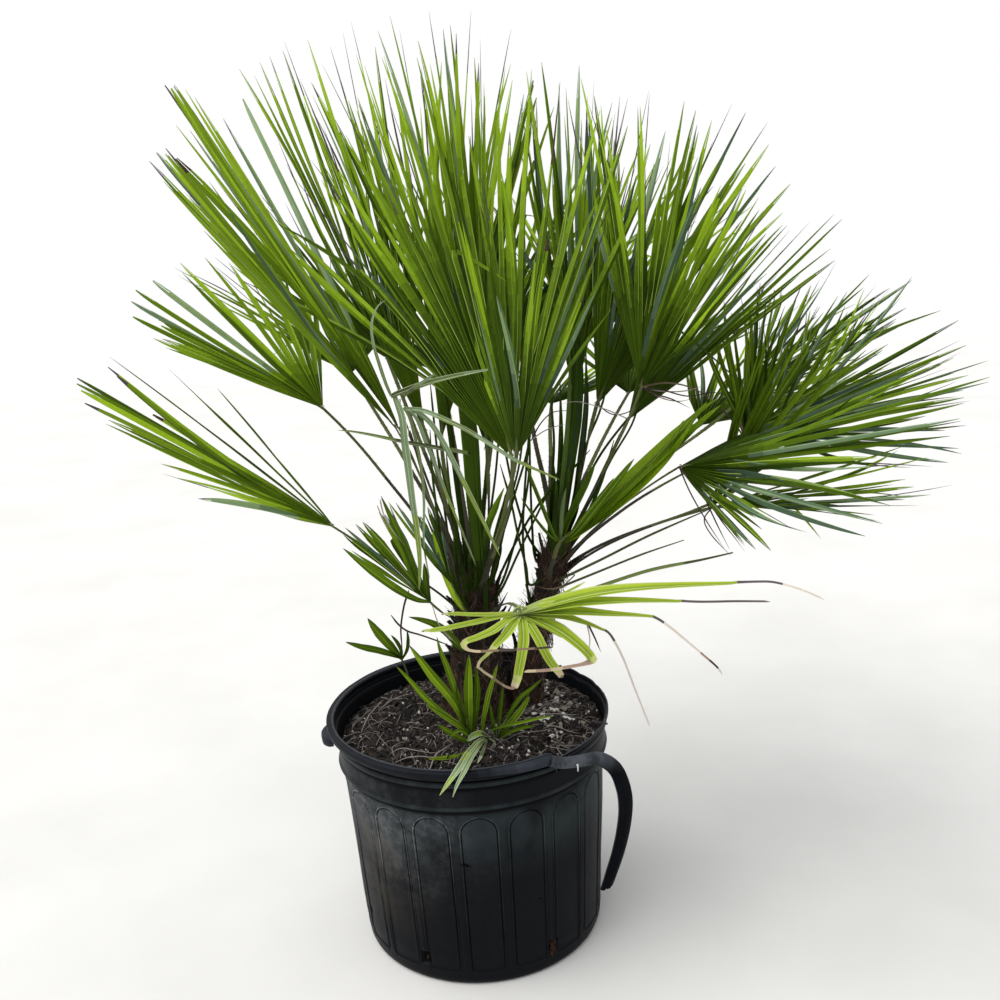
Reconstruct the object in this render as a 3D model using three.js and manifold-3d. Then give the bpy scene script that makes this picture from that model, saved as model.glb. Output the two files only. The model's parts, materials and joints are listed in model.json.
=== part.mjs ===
// A clump-forming fan palm in a black nursery pot, built in millimetres, +Z up.
// The origin is the centre of the pot's flat underside.
//
// Each frond is one thin blade: a pleated fan cut into fingers, carried by a
// tapering stalk that grows from one of the two short trunks or, on the
// basal shoots, straight from the potting mix.
import * as THREE from 'three';
import { mergeVertices } from 'three/addons/utils/BufferGeometryUtils.js';
import Module from 'manifold-3d';

const wasm = await Module();
wasm.setup();

// ---------------------------------------------------------------- sizes
const GAP = 0.35; // clearance kept between touching pieces

// pot
const POT_HEIGHT = 368;
const POT_WALL = 3;
const FOOT_RADIUS = 187;
const WALL_RADIUS_LOW = 191;
const WALL_RADIUS_HIGH = 203;
const BEAD_HEIGHT = 300;
const COLLAR_RADIUS = 209;
const SHOULDER_RADIUS = 214;
const LIP_RADIUS = 222.5;
const LIP_BOTTOM = 357;
const POT_SIDES = 32;
const DRAIN_HOLES = 6;
const DRAIN_SIZE = [16, 24]; // width and height of each drain slot
const DRAIN_FIRST = -57; // degrees
const DRAIN_LEVEL = 40;
const TEAR_START = -57; // the rim's rolled lip is torn off from here ...
const TEAR_END = 62; // ... round to here, in degrees about the pot's axis

// potting mix
const MIX_TOP = 345;
const MIX_EDGE = 331;
const MIX_FLAT = 140;

// trunks: axis points [x, y, z, radius]
const TRUNKS = {
  left: [[6, 30, 345.6, 58], [8, 22, 372, 46], [14, 10, 430, 39], [20, 4, 500, 34], [24, 0, 560, 29]],
  right: [[80, 50, 345.6, 34], [92, 42, 400, 27], [112, 28, 480, 23], [134, 12, 560, 21], [150, 0, 622, 19]],
};
// sheaths of stalk bases that stand on the trunks
const SHEATHS = {
  left: [[24, 0, 561, 27], [26, -2, 600, 30], [28, -4, 650, 32], [30, -6, 700, 22]],
  right: [[150, 0, 623, 17.5], [158, 0, 660, 19], [170, 0, 715, 19], [181, 0, 770, 11]],
};

// fronds
const BLADE_HALF = 1.1; // half thickness of a blade
const HUB_INNER = 16; // the blade starts this far from the hub
const PALMAN = 0.4; // joined part of the blade, as a share of its reach
const STALK_SIDES = 4;
const STALK_STEPS = 4;
const STALK_ROOT = 6.5;
const STALK_END = 3.6;
const SHOOT_SCALE = 0.55; // stalks of the basal shoots are finer
// these blades turn sharply on their stalks, so blade and stalk are two pieces
const OWN_STALK = ['front_centre', 'front_inner', 'centre_behind', 'yellow_low', 'pale_bent'];

// name, parent, hub [x, y, z], then three rays of the fan as
// [heading, rise, reach]: its first edge, its middle and its last edge;
// then the number of fingers
const FRONDS = [
  ['left_low', 'left', [-167, -100, 694], [127, 28, 340], [-166, 38, 388], [-115, 20, 260], 7],
  ['left_tall_upper', 'left', [-73, 20, 801], [-123, 51, 580], [-156, 61, 552], [125, 52, 580], 7],
  ['left_tall_lower', 'left', [-72, -60, 821], [-123, 43, 500], [-162, 54, 466], [149, 48, 500], 7],
  ['right_low', 'right', [317, -100, 748], [22, 17, 400], [-55, 17, 440], [-77, -18, 200], 7],
  ['front_centre', 'left', [86, -200, 799], [146, 38, 500], [125, 68, 580], [48, 42, 500], 9],
  ['centre_mid', 'left', [53, -20, 772], [139, 68, 600], [-113, 81, 588], [76, 64, 600], 7],
  ['centre_back', 'left', [-17, 80, 770], [98, 68, 600], [27, 80, 620], [54, 55, 600], 7],
  ['right_mid', 'right', [273, -60, 855], [107, 56, 540], [-26, 79, 370], [-60, 33, 360], 9],
  ['right_tall', 'right', [218, 20, 820], [86, 72, 480], [-16, 66, 416], [28, 36, 460], 9],
  ['right_wide', 'right', [458, 120, 730], [-65, 40, 300], [-19, 23, 340], [6, -12, 360], 7],
  ['left_mid', 'left', [-198, 120, 824], [-127, 21, 300], [-166, 37, 311], [93, 50, 280], 7],
  ['yellow_low', 'left', [86, -220, 594], [-173, -6, 132], [-86, -55, 100], [-13, 5, 356], 9],
  ['right_up', 'right', [455, 60, 683], [79, 46, 320], [45, 43, 360], [25, 42, 420], 7],
  ['right_far', 'right', [479, 250, 769], [65, 40, 320], [35, 29, 360], [20, 13, 420], 7],
  ['right_under', 'right', [378, -20, 664], [20, 8, 340], [9, -6, 340], [35, -10, 200], 7],
  ['right_inner', 'right', [148, -80, 643], [-132, 64, 160], [-50, 44, 200], [-2, 41, 300], 7],
  ['centre_left_back', 'left', [-43, 120, 776], [141, 59, 640], [129, 66, 640], [101, 71, 600], 7],
  ['centre_right_back', 'right', [196, 160, 804], [115, 69, 520], [63, 79, 500], [49, 63, 460], 7],
  ['right_fore', 'right', [258, -20, 802], [-76, 57, 420], [-13, 56, 371], [18, 29, 400], 7],
  ['front_inner', 'left', [91, -235, 809], [116, 45, 260], [-83, 65, 340], [50, 37, 280], 7],
  ['centre_behind', 'left', [27, 220, 779], [-175, 70, 520], [-81, 84, 547], [33, 66, 520], 7],
  ['pup_left_outer', 'left', [-40, -130, 585], [176, 36, 141], [168, 51, 163], [137, 70, 143], 5],
  ['pup_left_inner', 'left', [-8, -110, 601], [167, 52, 150], [122, 50, 140], [102, 52, 100], 4],
  ['pup_front_left', 'soil', [-3, -92, 386], [-166, 46, 141], [166, 77, 129], [-9, 59, 102], 5],
  ['pup_front_right', 'soil', [47, -86, 366], [93, 83, 47], [13, 48, 76], [-10, 13, 81], 4],
  ['pup_rim', 'soil', [-106, 40, 438], [-146, 28, 102], [-167, 57, 82], [28, 70, 63], 4],
  ['back_left_low', 'left', [-170, 290, 850], [61, 23, 320], [120, 26, 400], [-179, 31, 320], 7],
  ['back_left_high', 'left', [-100, 220, 880], [43, 45, 352], [115, 50, 440], [178, 36, 352], 7],
  ['back_low', 'left', [-20, 360, 830], [32, 20, 320], [95, 20, 400], [158, 20, 320], 7],
  ['back_high', 'left', [85, 250, 890], [13, 30, 336], [76, 46, 420], [150, 43, 336], 7],
  ['back_mid', 'right', [120, 330, 860], [12, 32, 336], [78, 30, 420], [140, 22, 336], 7],
  ['back_right_high', 'right', [220, 240, 880], [-2, 33, 336], [62, 48, 420], [134, 43, 336], 7],
  ['back_right_low', 'right', [300, 320, 780], [-3, 24, 320], [58, 18, 400], [117, 16, 320], 7],
  ['back_right_far', 'right', [420, 300, 720], [-18, 12, 304], [38, 12, 380], [94, 22, 304], 7],
  ['back_drop', 'right', [170, 380, 760], [20, 10, 288], [80, 2, 360], [140, 10, 288], 7],
  ['pale_bent', 'left', [-61, -120, 868], [3, 16, 127], [-64, -41, 260], [-86, -71, 255], 3],
];

// a basal shoot's leaf that leans out of the mix and hangs over the rim:
// [x, y, z, half width] from its foot to its tip
const HANGING_LEAF = [
  [15, -94, 345.6, 2.5], [5, -140, 362, 5], [-4, -180, 374, 7.5],
  [-10, -216, 377, 8], [-21, -238, 367, 7], [-36, -246, 349, 1.5],
];

// ---------------------------------------------------------------- materials
const plastic = new THREE.MeshStandardMaterial({ color: 0x1c1e20, roughness: 0.5, metalness: 0 });
const mix = new THREE.MeshStandardMaterial({ color: 0x2c211b, roughness: 1, metalness: 0 });
const fibre = new THREE.MeshStandardMaterial({ color: 0x3c2a1d, roughness: 0.95, metalness: 0 });
const sheathGreen = new THREE.MeshStandardMaterial({ color: 0x36431c, roughness: 0.7, metalness: 0 });
const leaf = new THREE.MeshStandardMaterial({ color: 0x4f7420, roughness: 0.55, metalness: 0, side: THREE.DoubleSide });
const limeLeaf = new THREE.MeshStandardMaterial({ color: 0x9dbb3c, roughness: 0.55, metalness: 0 });
const paleLeaf = new THREE.MeshStandardMaterial({ color: 0xa3ad7c, roughness: 0.7, metalness: 0 });

// ---------------------------------------------------------------- helpers
const rad = THREE.MathUtils.degToRad;
const vec = (a) => new THREE.Vector3(a[0], a[1], a[2]);

// a unit vector from a heading in the ground plane and a rise above it
function ray([heading, rise]) {
  return new THREE.Vector3(
    Math.cos(rad(rise)) * Math.cos(rad(heading)),
    Math.cos(rad(rise)) * Math.sin(rad(heading)),
    Math.sin(rad(rise)),
  );
}

// the direction a share t of the way from a to b along a great circle
function sweep(a, b, t) {
  const w = Math.acos(THREE.MathUtils.clamp(a.dot(b), -1, 1));
  if (w < 1e-4) return a.clone();
  return a.clone().multiplyScalar(Math.sin((1 - t) * w))
    .addScaledVector(b, Math.sin(t * w)).divideScalar(Math.sin(w)).normalize();
}

// a closed geometry from points and outward faces
function closed(points, faces) {
  let volume = 0;
  for (const [a, b, c] of faces) volume += points[a].dot(points[b].clone().cross(points[c]));
  const g = new THREE.BufferGeometry();
  g.setAttribute('position', new THREE.Float32BufferAttribute(points.flatMap((p) => [p.x, p.y, p.z]), 3));
  g.setIndex(faces.flatMap(([a, b, c]) => (volume > 0 ? [a, b, c] : [a, c, b])));
  return g;
}

function solid(geometry) {
  const g = geometry.clone();
  g.deleteAttribute('normal');
  g.deleteAttribute('uv');
  const m = mergeVertices(g, 1e-4);
  return new wasm.Manifold(new wasm.Mesh({
    numProp: 3,
    vertProperties: new Float32Array(m.attributes.position.array),
    triVerts: new Uint32Array(m.index.array),
  }));
}

function geometryOf(manifold) {
  const mesh = manifold.getMesh();
  const g = new THREE.BufferGeometry();
  g.setAttribute('position', new THREE.Float32BufferAttribute(Float32Array.from(mesh.vertProperties), 3));
  g.setIndex(Array.from(mesh.triVerts));
  g.computeVertexNormals();
  return g;
}

// a tapering limb through [x, y, z, radius] stations, with level ends
function limb(stations, sides, grow = 0, level = true) {
  const points = [];
  const faces = [];
  const n = stations.length;
  // one sideways direction for the whole limb, so that it doesn't twist
  const ref = new THREE.Vector3(1, 0, 0);
  if (!level) {
    const lie = vec(stations[n - 1]).sub(vec(stations[0]));
    if (Math.hypot(lie.x, lie.y) > 5) ref.set(lie.y, -lie.x, 0).normalize();
  }
  stations.forEach(([x, y, z, r], i) => {
    const p = vec([x, y, z]);
    const a = vec(stations[Math.max(0, i - 1)]);
    const b = vec(stations[Math.min(n - 1, i + 1)]);
    const t = level ? new THREE.Vector3(0, 0, 1) : b.sub(a).normalize();
    const u = ref.clone().addScaledVector(t, -ref.dot(t)).normalize();
    const v = t.clone().cross(u);
    const shift = (i === 0 ? -grow : i === n - 1 ? grow : 0);
    for (let k = 0; k < sides; k += 1) {
      const w = (2 * Math.PI * k) / sides;
      points.push(p.clone().addScaledVector(t, shift)
        .addScaledVector(u, (r + grow) * Math.cos(w)).addScaledVector(v, (r + grow) * Math.sin(w)));
    }
  });
  for (let i = 0; i < n - 1; i += 1) {
    for (let k = 0; k < sides; k += 1) {
      const a = i * sides + k;
      const b = i * sides + ((k + 1) % sides);
      faces.push([a, b, b + sides], [a, b + sides, a + sides]);
    }
  }
  for (let k = 1; k < sides - 1; k += 1) {
    faces.push([0, k + 1, k]);
    const e = (n - 1) * sides;
    faces.push([e, e + k, e + k + 1]);
  }
  return closed(points, faces);
}

// a thin strap along a path, level across its width
function strap(stations) {
  const points = [];
  const faces = [];
  const n = stations.length;
  stations.forEach(([x, y, z, half], i) => {
    const a = vec(stations[Math.max(0, i - 1)]);
    const b = vec(stations[Math.min(n - 1, i + 1)]);
    const t = b.sub(a).normalize();
    const across = t.clone().cross(new THREE.Vector3(0, 0, 1)).normalize();
    const up = across.clone().cross(t).multiplyScalar(BLADE_HALF);
    for (const [side, lift] of [[-1, -1], [1, -1], [1, 1], [-1, 1]]) {
      points.push(vec([x, y, z]).addScaledVector(across, side * half).addScaledVector(up, lift));
    }
  });
  for (let i = 0; i < n - 1; i += 1) {
    for (let k = 0; k < 4; k += 1) {
      const a = i * 4 + k;
      const b = i * 4 + ((k + 1) % 4);
      faces.push([a, b, b + 4], [a, b + 4, a + 4]);
    }
  }
  const e = (n - 1) * 4;
  faces.push([0, 2, 1], [0, 3, 2], [e, e + 1, e + 2], [e, e + 2, e + 3]);
  return closed(points, faces);
}

// ---------------------------------------------------------------- pot
function lathe(profile, sides) {
  const shape = profile.map(([r, z]) => new THREE.Vector2(r, z));
  const g = new THREE.LatheGeometry(shape, sides);
  g.rotateX(Math.PI / 2);
  return g;
}

const innerRadius = (z) => 184 + (204 - 184) * ((z - 6) / 329);

function potShell(grow = 0) {
  const body = solid(lathe([
    [0, 0], [FOOT_RADIUS - 7, 0], [FOOT_RADIUS, 8], [WALL_RADIUS_LOW, 44],
    [WALL_RADIUS_HIGH, BEAD_HEIGHT - 14], [COLLAR_RADIUS - 1, BEAD_HEIGHT],
    [COLLAR_RADIUS, 342], [SHOULDER_RADIUS, 348], [SHOULDER_RADIUS, LIP_BOTTOM - GAP],
    [SHOULDER_RADIUS - POT_WALL, LIP_BOTTOM - GAP], [204, 335], [innerRadius(6), 6], [0, 6],
  ], POT_SIDES));
  let shell = body;
  for (let k = 0; k < DRAIN_HOLES; k += 1) {
    const box = new THREE.BoxGeometry(30, DRAIN_SIZE[0], DRAIN_SIZE[1]);
    box.translate(FOOT_RADIUS, 0, DRAIN_LEVEL);
    box.rotateZ(rad(DRAIN_FIRST + (360 * k) / DRAIN_HOLES));
    shell = shell.subtract(solid(box));
  }
  return grow ? body : shell;
}

// the rolled lip, from the end of the tear round to its start
function lip() {
  const section = [
    [SHOULDER_RADIUS - POT_WALL, LIP_BOTTOM], [LIP_RADIUS, LIP_BOTTOM + 1],
    [LIP_RADIUS, POT_HEIGHT - 3], [LIP_RADIUS - 4, POT_HEIGHT], [SHOULDER_RADIUS - POT_WALL, POT_HEIGHT - 1],
  ];
  const steps = 23;
  const points = [];
  const faces = [];
  const m = section.length;
  for (let i = 0; i <= steps; i += 1) {
    const w = rad(TEAR_END + ((360 + TEAR_START - TEAR_END) * i) / steps);
    for (const [r, z] of section) points.push(new THREE.Vector3(r * Math.cos(w), r * Math.sin(w), z));
  }
  for (let i = 0; i < steps; i += 1) {
    for (let k = 0; k < m; k += 1) {
      const a = i * m + k;
      const b = i * m + ((k + 1) % m);
      faces.push([a, b, b + m], [a, b + m, a + m]);
    }
  }
  for (let k = 1; k < m - 1; k += 1) {
    faces.push([0, k + 1, k]);
    faces.push([steps * m, steps * m + k, steps * m + k + 1]);
  }
  return closed(points, faces);
}

// half-round grip lug on the left of the rim
function lug() {
  const shape = new THREE.Shape();
  shape.moveTo(SHOULDER_RADIUS + 1.2, -30);
  shape.quadraticCurveTo(SHOULDER_RADIUS + 17, -24, SHOULDER_RADIUS + 18, 0);
  shape.quadraticCurveTo(SHOULDER_RADIUS + 17, 24, SHOULDER_RADIUS + 1.2, 30);
  shape.lineTo(SHOULDER_RADIUS + 1.2, -30);
  const g = new THREE.ExtrudeGeometry(shape, { depth: 14, bevelEnabled: false, curveSegments: 5 });
  g.translate(0, 0, 341);
  g.rotateZ(rad(190));
  return g;
}

// the torn length of lip: it leaves the rim, swings out and hangs beside the wall
const STRIP_PATH = [
  [116, -194, 361], [134, -185, 352], [158, -171, 346], [186, -153, 338], [208, -142, 316],
  [222, -135, 284], [227, -131, 250], [224, -127, 210], [216, -123, 168], [205, -119, 130], [196, -115, 102],
];
const STRIP_HALF = [8, 8.5, 9, 10, 11, 12, 12.5, 12.5, 12, 11, 10];
const STRIP_THICK = 3.4;

function strip() {
  const points = [];
  const faces = [];
  const path = STRIP_PATH.map(vec);
  const facing = new THREE.Vector3(0.5, -0.85, 0.1).normalize();
  path.forEach((p, i) => {
    const t = path[Math.min(path.length - 1, i + 1)].clone().sub(path[Math.max(0, i - 1)]).normalize();
    const n = facing.clone().addScaledVector(t, -facing.dot(t)).normalize();
    const w = t.clone().cross(n);
    const h = STRIP_HALF[i];
    for (const [a, b] of [[-h, -1], [h, -1], [h, 1], [-h, 1]]) {
      points.push(p.clone().addScaledVector(w, a).addScaledVector(n, (b * STRIP_THICK) / 2));
    }
  });
  for (let i = 0; i < path.length - 1; i += 1) {
    for (let k = 0; k < 4; k += 1) {
      const a = i * 4 + k;
      const b = i * 4 + ((k + 1) % 4);
      faces.push([a, b, b + 4], [a, b + 4, a + 4]);
    }
  }
  const e = (path.length - 1) * 4;
  faces.push([0, 2, 1], [0, 3, 2], [e, e + 1, e + 2], [e, e + 2, e + 3]);
  return closed(points, faces);
}

function pottingMix(grow = 0) {
  return lathe([
    [0, 6 + GAP], [innerRadius(6) - GAP - 0.3, 6 + GAP], [204 - GAP - 0.8, MIX_EDGE + grow],
    [MIX_FLAT, MIX_TOP + grow], [0, MIX_TOP + grow],
  ], POT_SIDES);
}

// ---------------------------------------------------------------- fronds
function fan(frond) {
  const [, , hub, first, middle, last, fingers] = frond;
  const a = ray(first);
  const b = ray(middle);
  const c = ray(last);
  const reach = (s) => (first[2] * s * (s - 1)) / 2 + middle[2] * (1 - s * s) + (last[2] * s * (s + 1)) / 2;
  const heading = (s) => (s < 0 ? sweep(a, b, s + 1) : sweep(b, c, s));
  const across = (s) => heading(Math.min(1, s + 0.05)).sub(heading(Math.max(-1, s - 0.05))).normalize();
  const normal = (s) => heading(s).cross(across(s)).normalize();
  return { hub: vec(hub), fingers, reach, heading, across, normal };
}

// one finger on its own, a little thicker and wider, to test the room it has
function fingerProbe(f, k, share) {
  const s = -1 + (2 * k + 1) / f.fingers;
  const edges = [-1 + (2 * k) / f.fingers, -1 + (2 * k + 2) / f.fingers];
  const rows = [];
  for (const [index, e] of edges.entries()) {
    const d = f.heading(e);
    const n = f.normal(e);
    const out = f.across(e).multiplyScalar(index ? 1 : -1);
    const p = f.hub.clone().addScaledVector(d, PALMAN * f.reach(e) + 2).addScaledVector(out, 0.4);
    rows.push([p, n]);
  }
  const tip = f.hub.clone().addScaledVector(f.heading(s), f.reach(s) * share + 1);
  const n = f.normal(s);
  const points = [];
  for (const q of [1, -1]) {
    const h = q * (BLADE_HALF + 0.5);
    points.push(
      rows[0][0].clone().addScaledVector(rows[0][1], h),
      tip.clone().addScaledVector(n, h),
      rows[1][0].clone().addScaledVector(rows[1][1], h),
    );
  }
  const faces = [[0, 1, 2], [3, 5, 4]];
  for (let i = 0; i < 3; i += 1) {
    const j = (i + 1) % 3;
    faces.push([i, i + 3, j + 3], [i, j + 3, j]);
  }
  return solid(closed(points, faces));
}

// the whole blade; shares[k] is how far finger k runs, 0 for none
function blade(f, shares, grow = 0) {
  const n = f.fingers;
  const top = [];
  const bottom = [];
  const put = (p, normal, half) => {
    top.push(p.clone().addScaledVector(normal, half));
    bottom.push(p.clone().addScaledVector(normal, -half));
    return top.length - 1;
  };
  const inner = [];
  const outer = [];
  for (let j = 0; j <= n; j += 1) {
    const s = -1 + (2 * j) / n;
    const d = f.heading(s);
    const nn = f.normal(s);
    const spread = j === 0 ? -grow : j === n ? grow : 0;
    const side = f.across(s).multiplyScalar(spread);
    inner.push(put(f.hub.clone().addScaledVector(d, HUB_INNER - grow).add(side), nn, BLADE_HALF + grow));
    outer.push(put(f.hub.clone().addScaledVector(d, PALMAN * f.reach(s) + grow).add(side), nn, BLADE_HALF + grow));
  }
  const flat = [];
  const outline = [];
  for (let k = 0; k < n; k += 1) {
    flat.push([inner[k], outer[k], outer[k + 1]], [inner[k], outer[k + 1], inner[k + 1]]);
    outline.push(outer[k]);
    if (shares[k] > 0) {
      const s = -1 + (2 * k + 1) / n;
      const tip = f.hub.clone().addScaledVector(f.heading(s), f.reach(s) * shares[k] + grow);
      const end = put(tip, f.normal(s), BLADE_HALF * 0.8 + grow);
      flat.push([outer[k], end, outer[k + 1]]);
      outline.push(end);
    }
  }
  outline.push(outer[n]);
  for (let j = n; j >= 0; j -= 1) outline.push(inner[j]);
  const m = top.length;
  const faces = [];
  for (const [a, b, c] of flat) faces.push([a, b, c], [a + m, c + m, b + m]);
  for (let i = 0; i < outline.length; i += 1) {
    const a = outline[i];
    const b = outline[(i + 1) % outline.length];
    faces.push([a, a + m, b + m], [a, b + m, b]);
  }
  return solid(closed([...top, ...bottom], faces));
}

// the curve of a frond's stalk, from inside its parent to the hub
function stalkCurve(frond, f) {
  const parent = frond[1];
  const hub = f.hub;
  const middle = f.heading(0);
  let foot;
  let lift;
  if (parent === 'soil') {
    foot = new THREE.Vector3(hub.x * 0.8, hub.y * 0.85, MIX_TOP - 12);
    lift = new THREE.Vector3(0, 0, 1);
  } else {
    const stations = TRUNKS[parent];
    const topOf = stations[stations.length - 1];
    const away = Math.atan2(hub.y - topOf[1], hub.x - topOf[0]);
    const drop = THREE.MathUtils.clamp((820 - hub.z) * 0.28, -20, 62);
    const z = topOf[2] - 18 - drop;
    const above = Math.max(1, z < topOf[2] ? stations.findIndex((p) => p[2] > z) : stations.length - 1);
    const [p, q] = [stations[above - 1], stations[above]];
    const share = Math.min(1, (z - p[2]) / (q[2] - p[2]));
    const axisX = THREE.MathUtils.lerp(p[0], q[0], share);
    const axisY = THREE.MathUtils.lerp(p[1], q[1], share);
    foot = new THREE.Vector3(axisX + 13 * Math.cos(away), axisY + 13 * Math.sin(away), z);
    lift = new THREE.Vector3(Math.cos(away) * 0.45, Math.sin(away) * 0.45, 1).normalize();
  }
  const straight = hub.clone().sub(foot);
  const length = straight.length();
  straight.normalize();
  const arrive = straight.clone().multiplyScalar(0.75).addScaledVector(middle, 0.5).normalize();
  const start = straight.clone().multiplyScalar(0.7).addScaledVector(lift, 0.5).normalize();
  return new THREE.CubicBezierCurve3(
    foot, foot.clone().addScaledVector(start, length * 0.33),
    hub.clone().addScaledVector(arrive, -length * 0.33), hub.clone(),
  );
}

function stalk(frond, f, grow = 0, alone = false) {
  const scale = frond[1] === 'soil' || frond[0].startsWith('pup') ? SHOOT_SCALE : 1;
  const curve = stalkCurve(frond, f);
  const steps = frond[1] === 'soil' ? 3 : STALK_STEPS;
  const stations = [];
  for (let i = 0; i <= steps; i += 1) {
    const t = i / steps;
    const p = curve.getPoint(t);
    const r = THREE.MathUtils.lerp(STALK_ROOT, STALK_END, t) * scale;
    stations.push([p.x, p.y, p.z, r]);
  }
  const end = f.hub.clone().addScaledVector(f.heading(0), alone ? HUB_INNER - 1 : HUB_INNER + 12);
  stations.push([end.x, end.y, end.z, STALK_END * scale * 0.8]);
  return solid(limb(stations, STALK_SIDES, grow, false));
}

// keeps the piece of a cut solid that still holds the hub end
function keepHub(manifold, f, along) {
  const parts = manifold.decompose();
  if (parts.length <= 1) return manifold;
  const hub = f.hub.clone().addScaledVector(f.heading(0), along);
  const box = new THREE.BoxGeometry(12, 12, 12);
  box.translate(hub.x, hub.y, hub.z);
  const marker = solid(box);
  let best = null;
  let most = -1;
  for (const part of parts) {
    const shared = part.intersect(marker).volume();
    if (shared > most) { most = shared; best = part; }
  }
  return best;
}

const near = (a, b) => {
  const p = a.boundingBox();
  const q = b.boundingBox();
  return [0, 1, 2].every((i) => p.min[i] - 1 < q.max[i] && q.min[i] - 1 < p.max[i]);
};
const meets = (a, b) => near(a, b) && a.intersect(b).volume() > 1e-5;

// ---------------------------------------------------------------- assembly
const group = new THREE.Group();
const add = (name, geometry, material) => {
  const mesh = new THREE.Mesh(geometry, material);
  mesh.name = name;
  group.add(mesh);
};

const shell = potShell();
const rimLip = solid(lip());
const torn = solid(strip()).subtract(solid(lip())).subtract(potShell(1));
const gripLug = solid(lug());
const mixSolid = solid(pottingMix());
const trunkLeft = solid(limb(TRUNKS.left, 10));
const trunkRight = solid(limb(TRUNKS.right, 10)).subtract(solid(limb(TRUNKS.left, 10, GAP)));
const sheathLeft = solid(limb(SHEATHS.left, 9)).subtract(solid(limb(TRUNKS.left, 10, GAP)));
const sheathRight = solid(limb(SHEATHS.right, 9)).subtract(solid(limb(TRUNKS.right, 10, GAP)));

add('pot_shell', geometryOf(shell), plastic);
add('pot_rim_lip', geometryOf(rimLip), plastic);
add('pot_grip_lug', geometryOf(gripLug), plastic);
add('torn_rim_strip', geometryOf(torn), plastic);
add('potting_mix', geometryOf(mixSolid), mix);
add('trunk_left', geometryOf(trunkLeft), fibre);
add('trunk_right', geometryOf(trunkRight), fibre);
add('stalk_sheath_left', geometryOf(sheathLeft), sheathGreen);
add('stalk_sheath_right', geometryOf(sheathRight), sheathGreen);

// what the stalks and blades are cut back from, and the solids themselves
const cutters = [
  solid(limb(TRUNKS.left, 10, GAP)), solid(limb(TRUNKS.right, 10, GAP)),
  solid(limb(SHEATHS.left, 9, GAP)), solid(limb(SHEATHS.right, 9, GAP)),
  solid(pottingMix(GAP)),
];
const hangingLeaf = solid(strap(HANGING_LEAF)).subtract(solid(pottingMix(GAP)));
add('frond_pup_over_rim', geometryOf(hangingLeaf), leaf);
const placed = [shell, rimLip, torn, gripLug, mixSolid, trunkLeft, trunkRight, sheathLeft, sheathRight, hangingLeaf];

// first the stalks and the joined parts of the blades ...
const plan = FRONDS.flatMap((frond) => {
  const f = fan(frond);
  const name = frond[0];
  const none = new Array(f.fingers).fill(0);
  const pieces = OWN_STALK.includes(name) ? [
    { name: `stalk_${name}`, make: (shares, grow) => stalk(frond, f, grow, true), along: 4, fingers: 0 },
    { name: `frond_${name}`, make: (shares, grow) => blade(f, shares, grow), along: HUB_INNER + 4, fingers: f.fingers },
  ] : [
    {
      name: `frond_${name}`, along: HUB_INNER + 4, fingers: f.fingers,
      make: (shares, grow) => stalk(frond, f, grow).add(blade(f, shares, grow)),
    },
  ];
  return pieces.map((piece) => ({ ...piece, f, core: piece.make(none, 0), grown: piece.make(none, GAP) }));
});
plan.forEach((item, i) => {
  item.cuts = [];
  for (const cutter of cutters) if (meets(item.core, cutter)) item.cuts.push(cutter);
  for (let j = 0; j < i; j += 1) if (meets(item.core, plan[j].grown)) item.cuts.push(plan[j].grown);
  let core = item.core;
  for (const cut of item.cuts) core = core.subtract(cut);
  item.core = core;
  placed.push(item.core);
});

// ... then each finger as far as its neighbours let it run
const fingersPlaced = [];
plan.forEach((item) => {
  item.shares = [];
  for (let k = 0; k < item.fingers; k += 1) {
    let found = 0;
    for (const share of [1, 0.9, 0.78, 0.66, 0.55]) {
      const probe = fingerProbe(item.f, k, share);
      const clear = !placed.some((p) => p !== item.core && meets(probe, p))
        && !fingersPlaced.some((p) => p.owner !== item && meets(probe, p.probe));
      if (clear) { found = share; fingersPlaced.push({ owner: item, probe }); break; }
    }
    item.shares.push(found);
  }
});

const finishes = { frond_yellow_low: limeLeaf, frond_pale_bent: paleLeaf };
plan.forEach((item) => {
  let whole = item.make(item.shares, 0);
  for (const cut of item.cuts) whole = whole.subtract(cut);
  whole = keepHub(whole, item.f, item.along);
  const green = item.name.startsWith('stalk') ? sheathGreen : leaf;
  add(item.name, geometryOf(whole), finishes[item.name] || green);
});

export default group;
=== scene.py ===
# A clump-forming fan palm in a black nursery pot: the looks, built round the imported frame.
import bpy
import json
import math
import numpy as np
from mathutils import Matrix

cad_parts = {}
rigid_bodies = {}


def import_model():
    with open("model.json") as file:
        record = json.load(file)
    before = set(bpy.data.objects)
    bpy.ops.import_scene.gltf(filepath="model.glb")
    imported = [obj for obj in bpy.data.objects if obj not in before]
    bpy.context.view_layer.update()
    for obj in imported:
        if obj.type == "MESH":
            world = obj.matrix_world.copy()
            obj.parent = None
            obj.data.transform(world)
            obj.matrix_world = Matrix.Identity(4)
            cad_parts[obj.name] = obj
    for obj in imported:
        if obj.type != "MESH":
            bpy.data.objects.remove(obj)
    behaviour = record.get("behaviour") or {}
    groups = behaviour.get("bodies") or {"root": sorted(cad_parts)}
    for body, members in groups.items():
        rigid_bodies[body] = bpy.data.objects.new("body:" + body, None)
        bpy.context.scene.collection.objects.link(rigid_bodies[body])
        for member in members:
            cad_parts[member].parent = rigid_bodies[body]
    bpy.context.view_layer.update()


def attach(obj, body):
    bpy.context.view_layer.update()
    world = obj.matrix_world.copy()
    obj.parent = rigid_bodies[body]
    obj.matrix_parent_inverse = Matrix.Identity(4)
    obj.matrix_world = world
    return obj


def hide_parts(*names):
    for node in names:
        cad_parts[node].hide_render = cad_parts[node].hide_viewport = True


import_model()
SCENE = bpy.context.scene
rng = np.random.default_rng(41)
MM = 0.001
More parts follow.
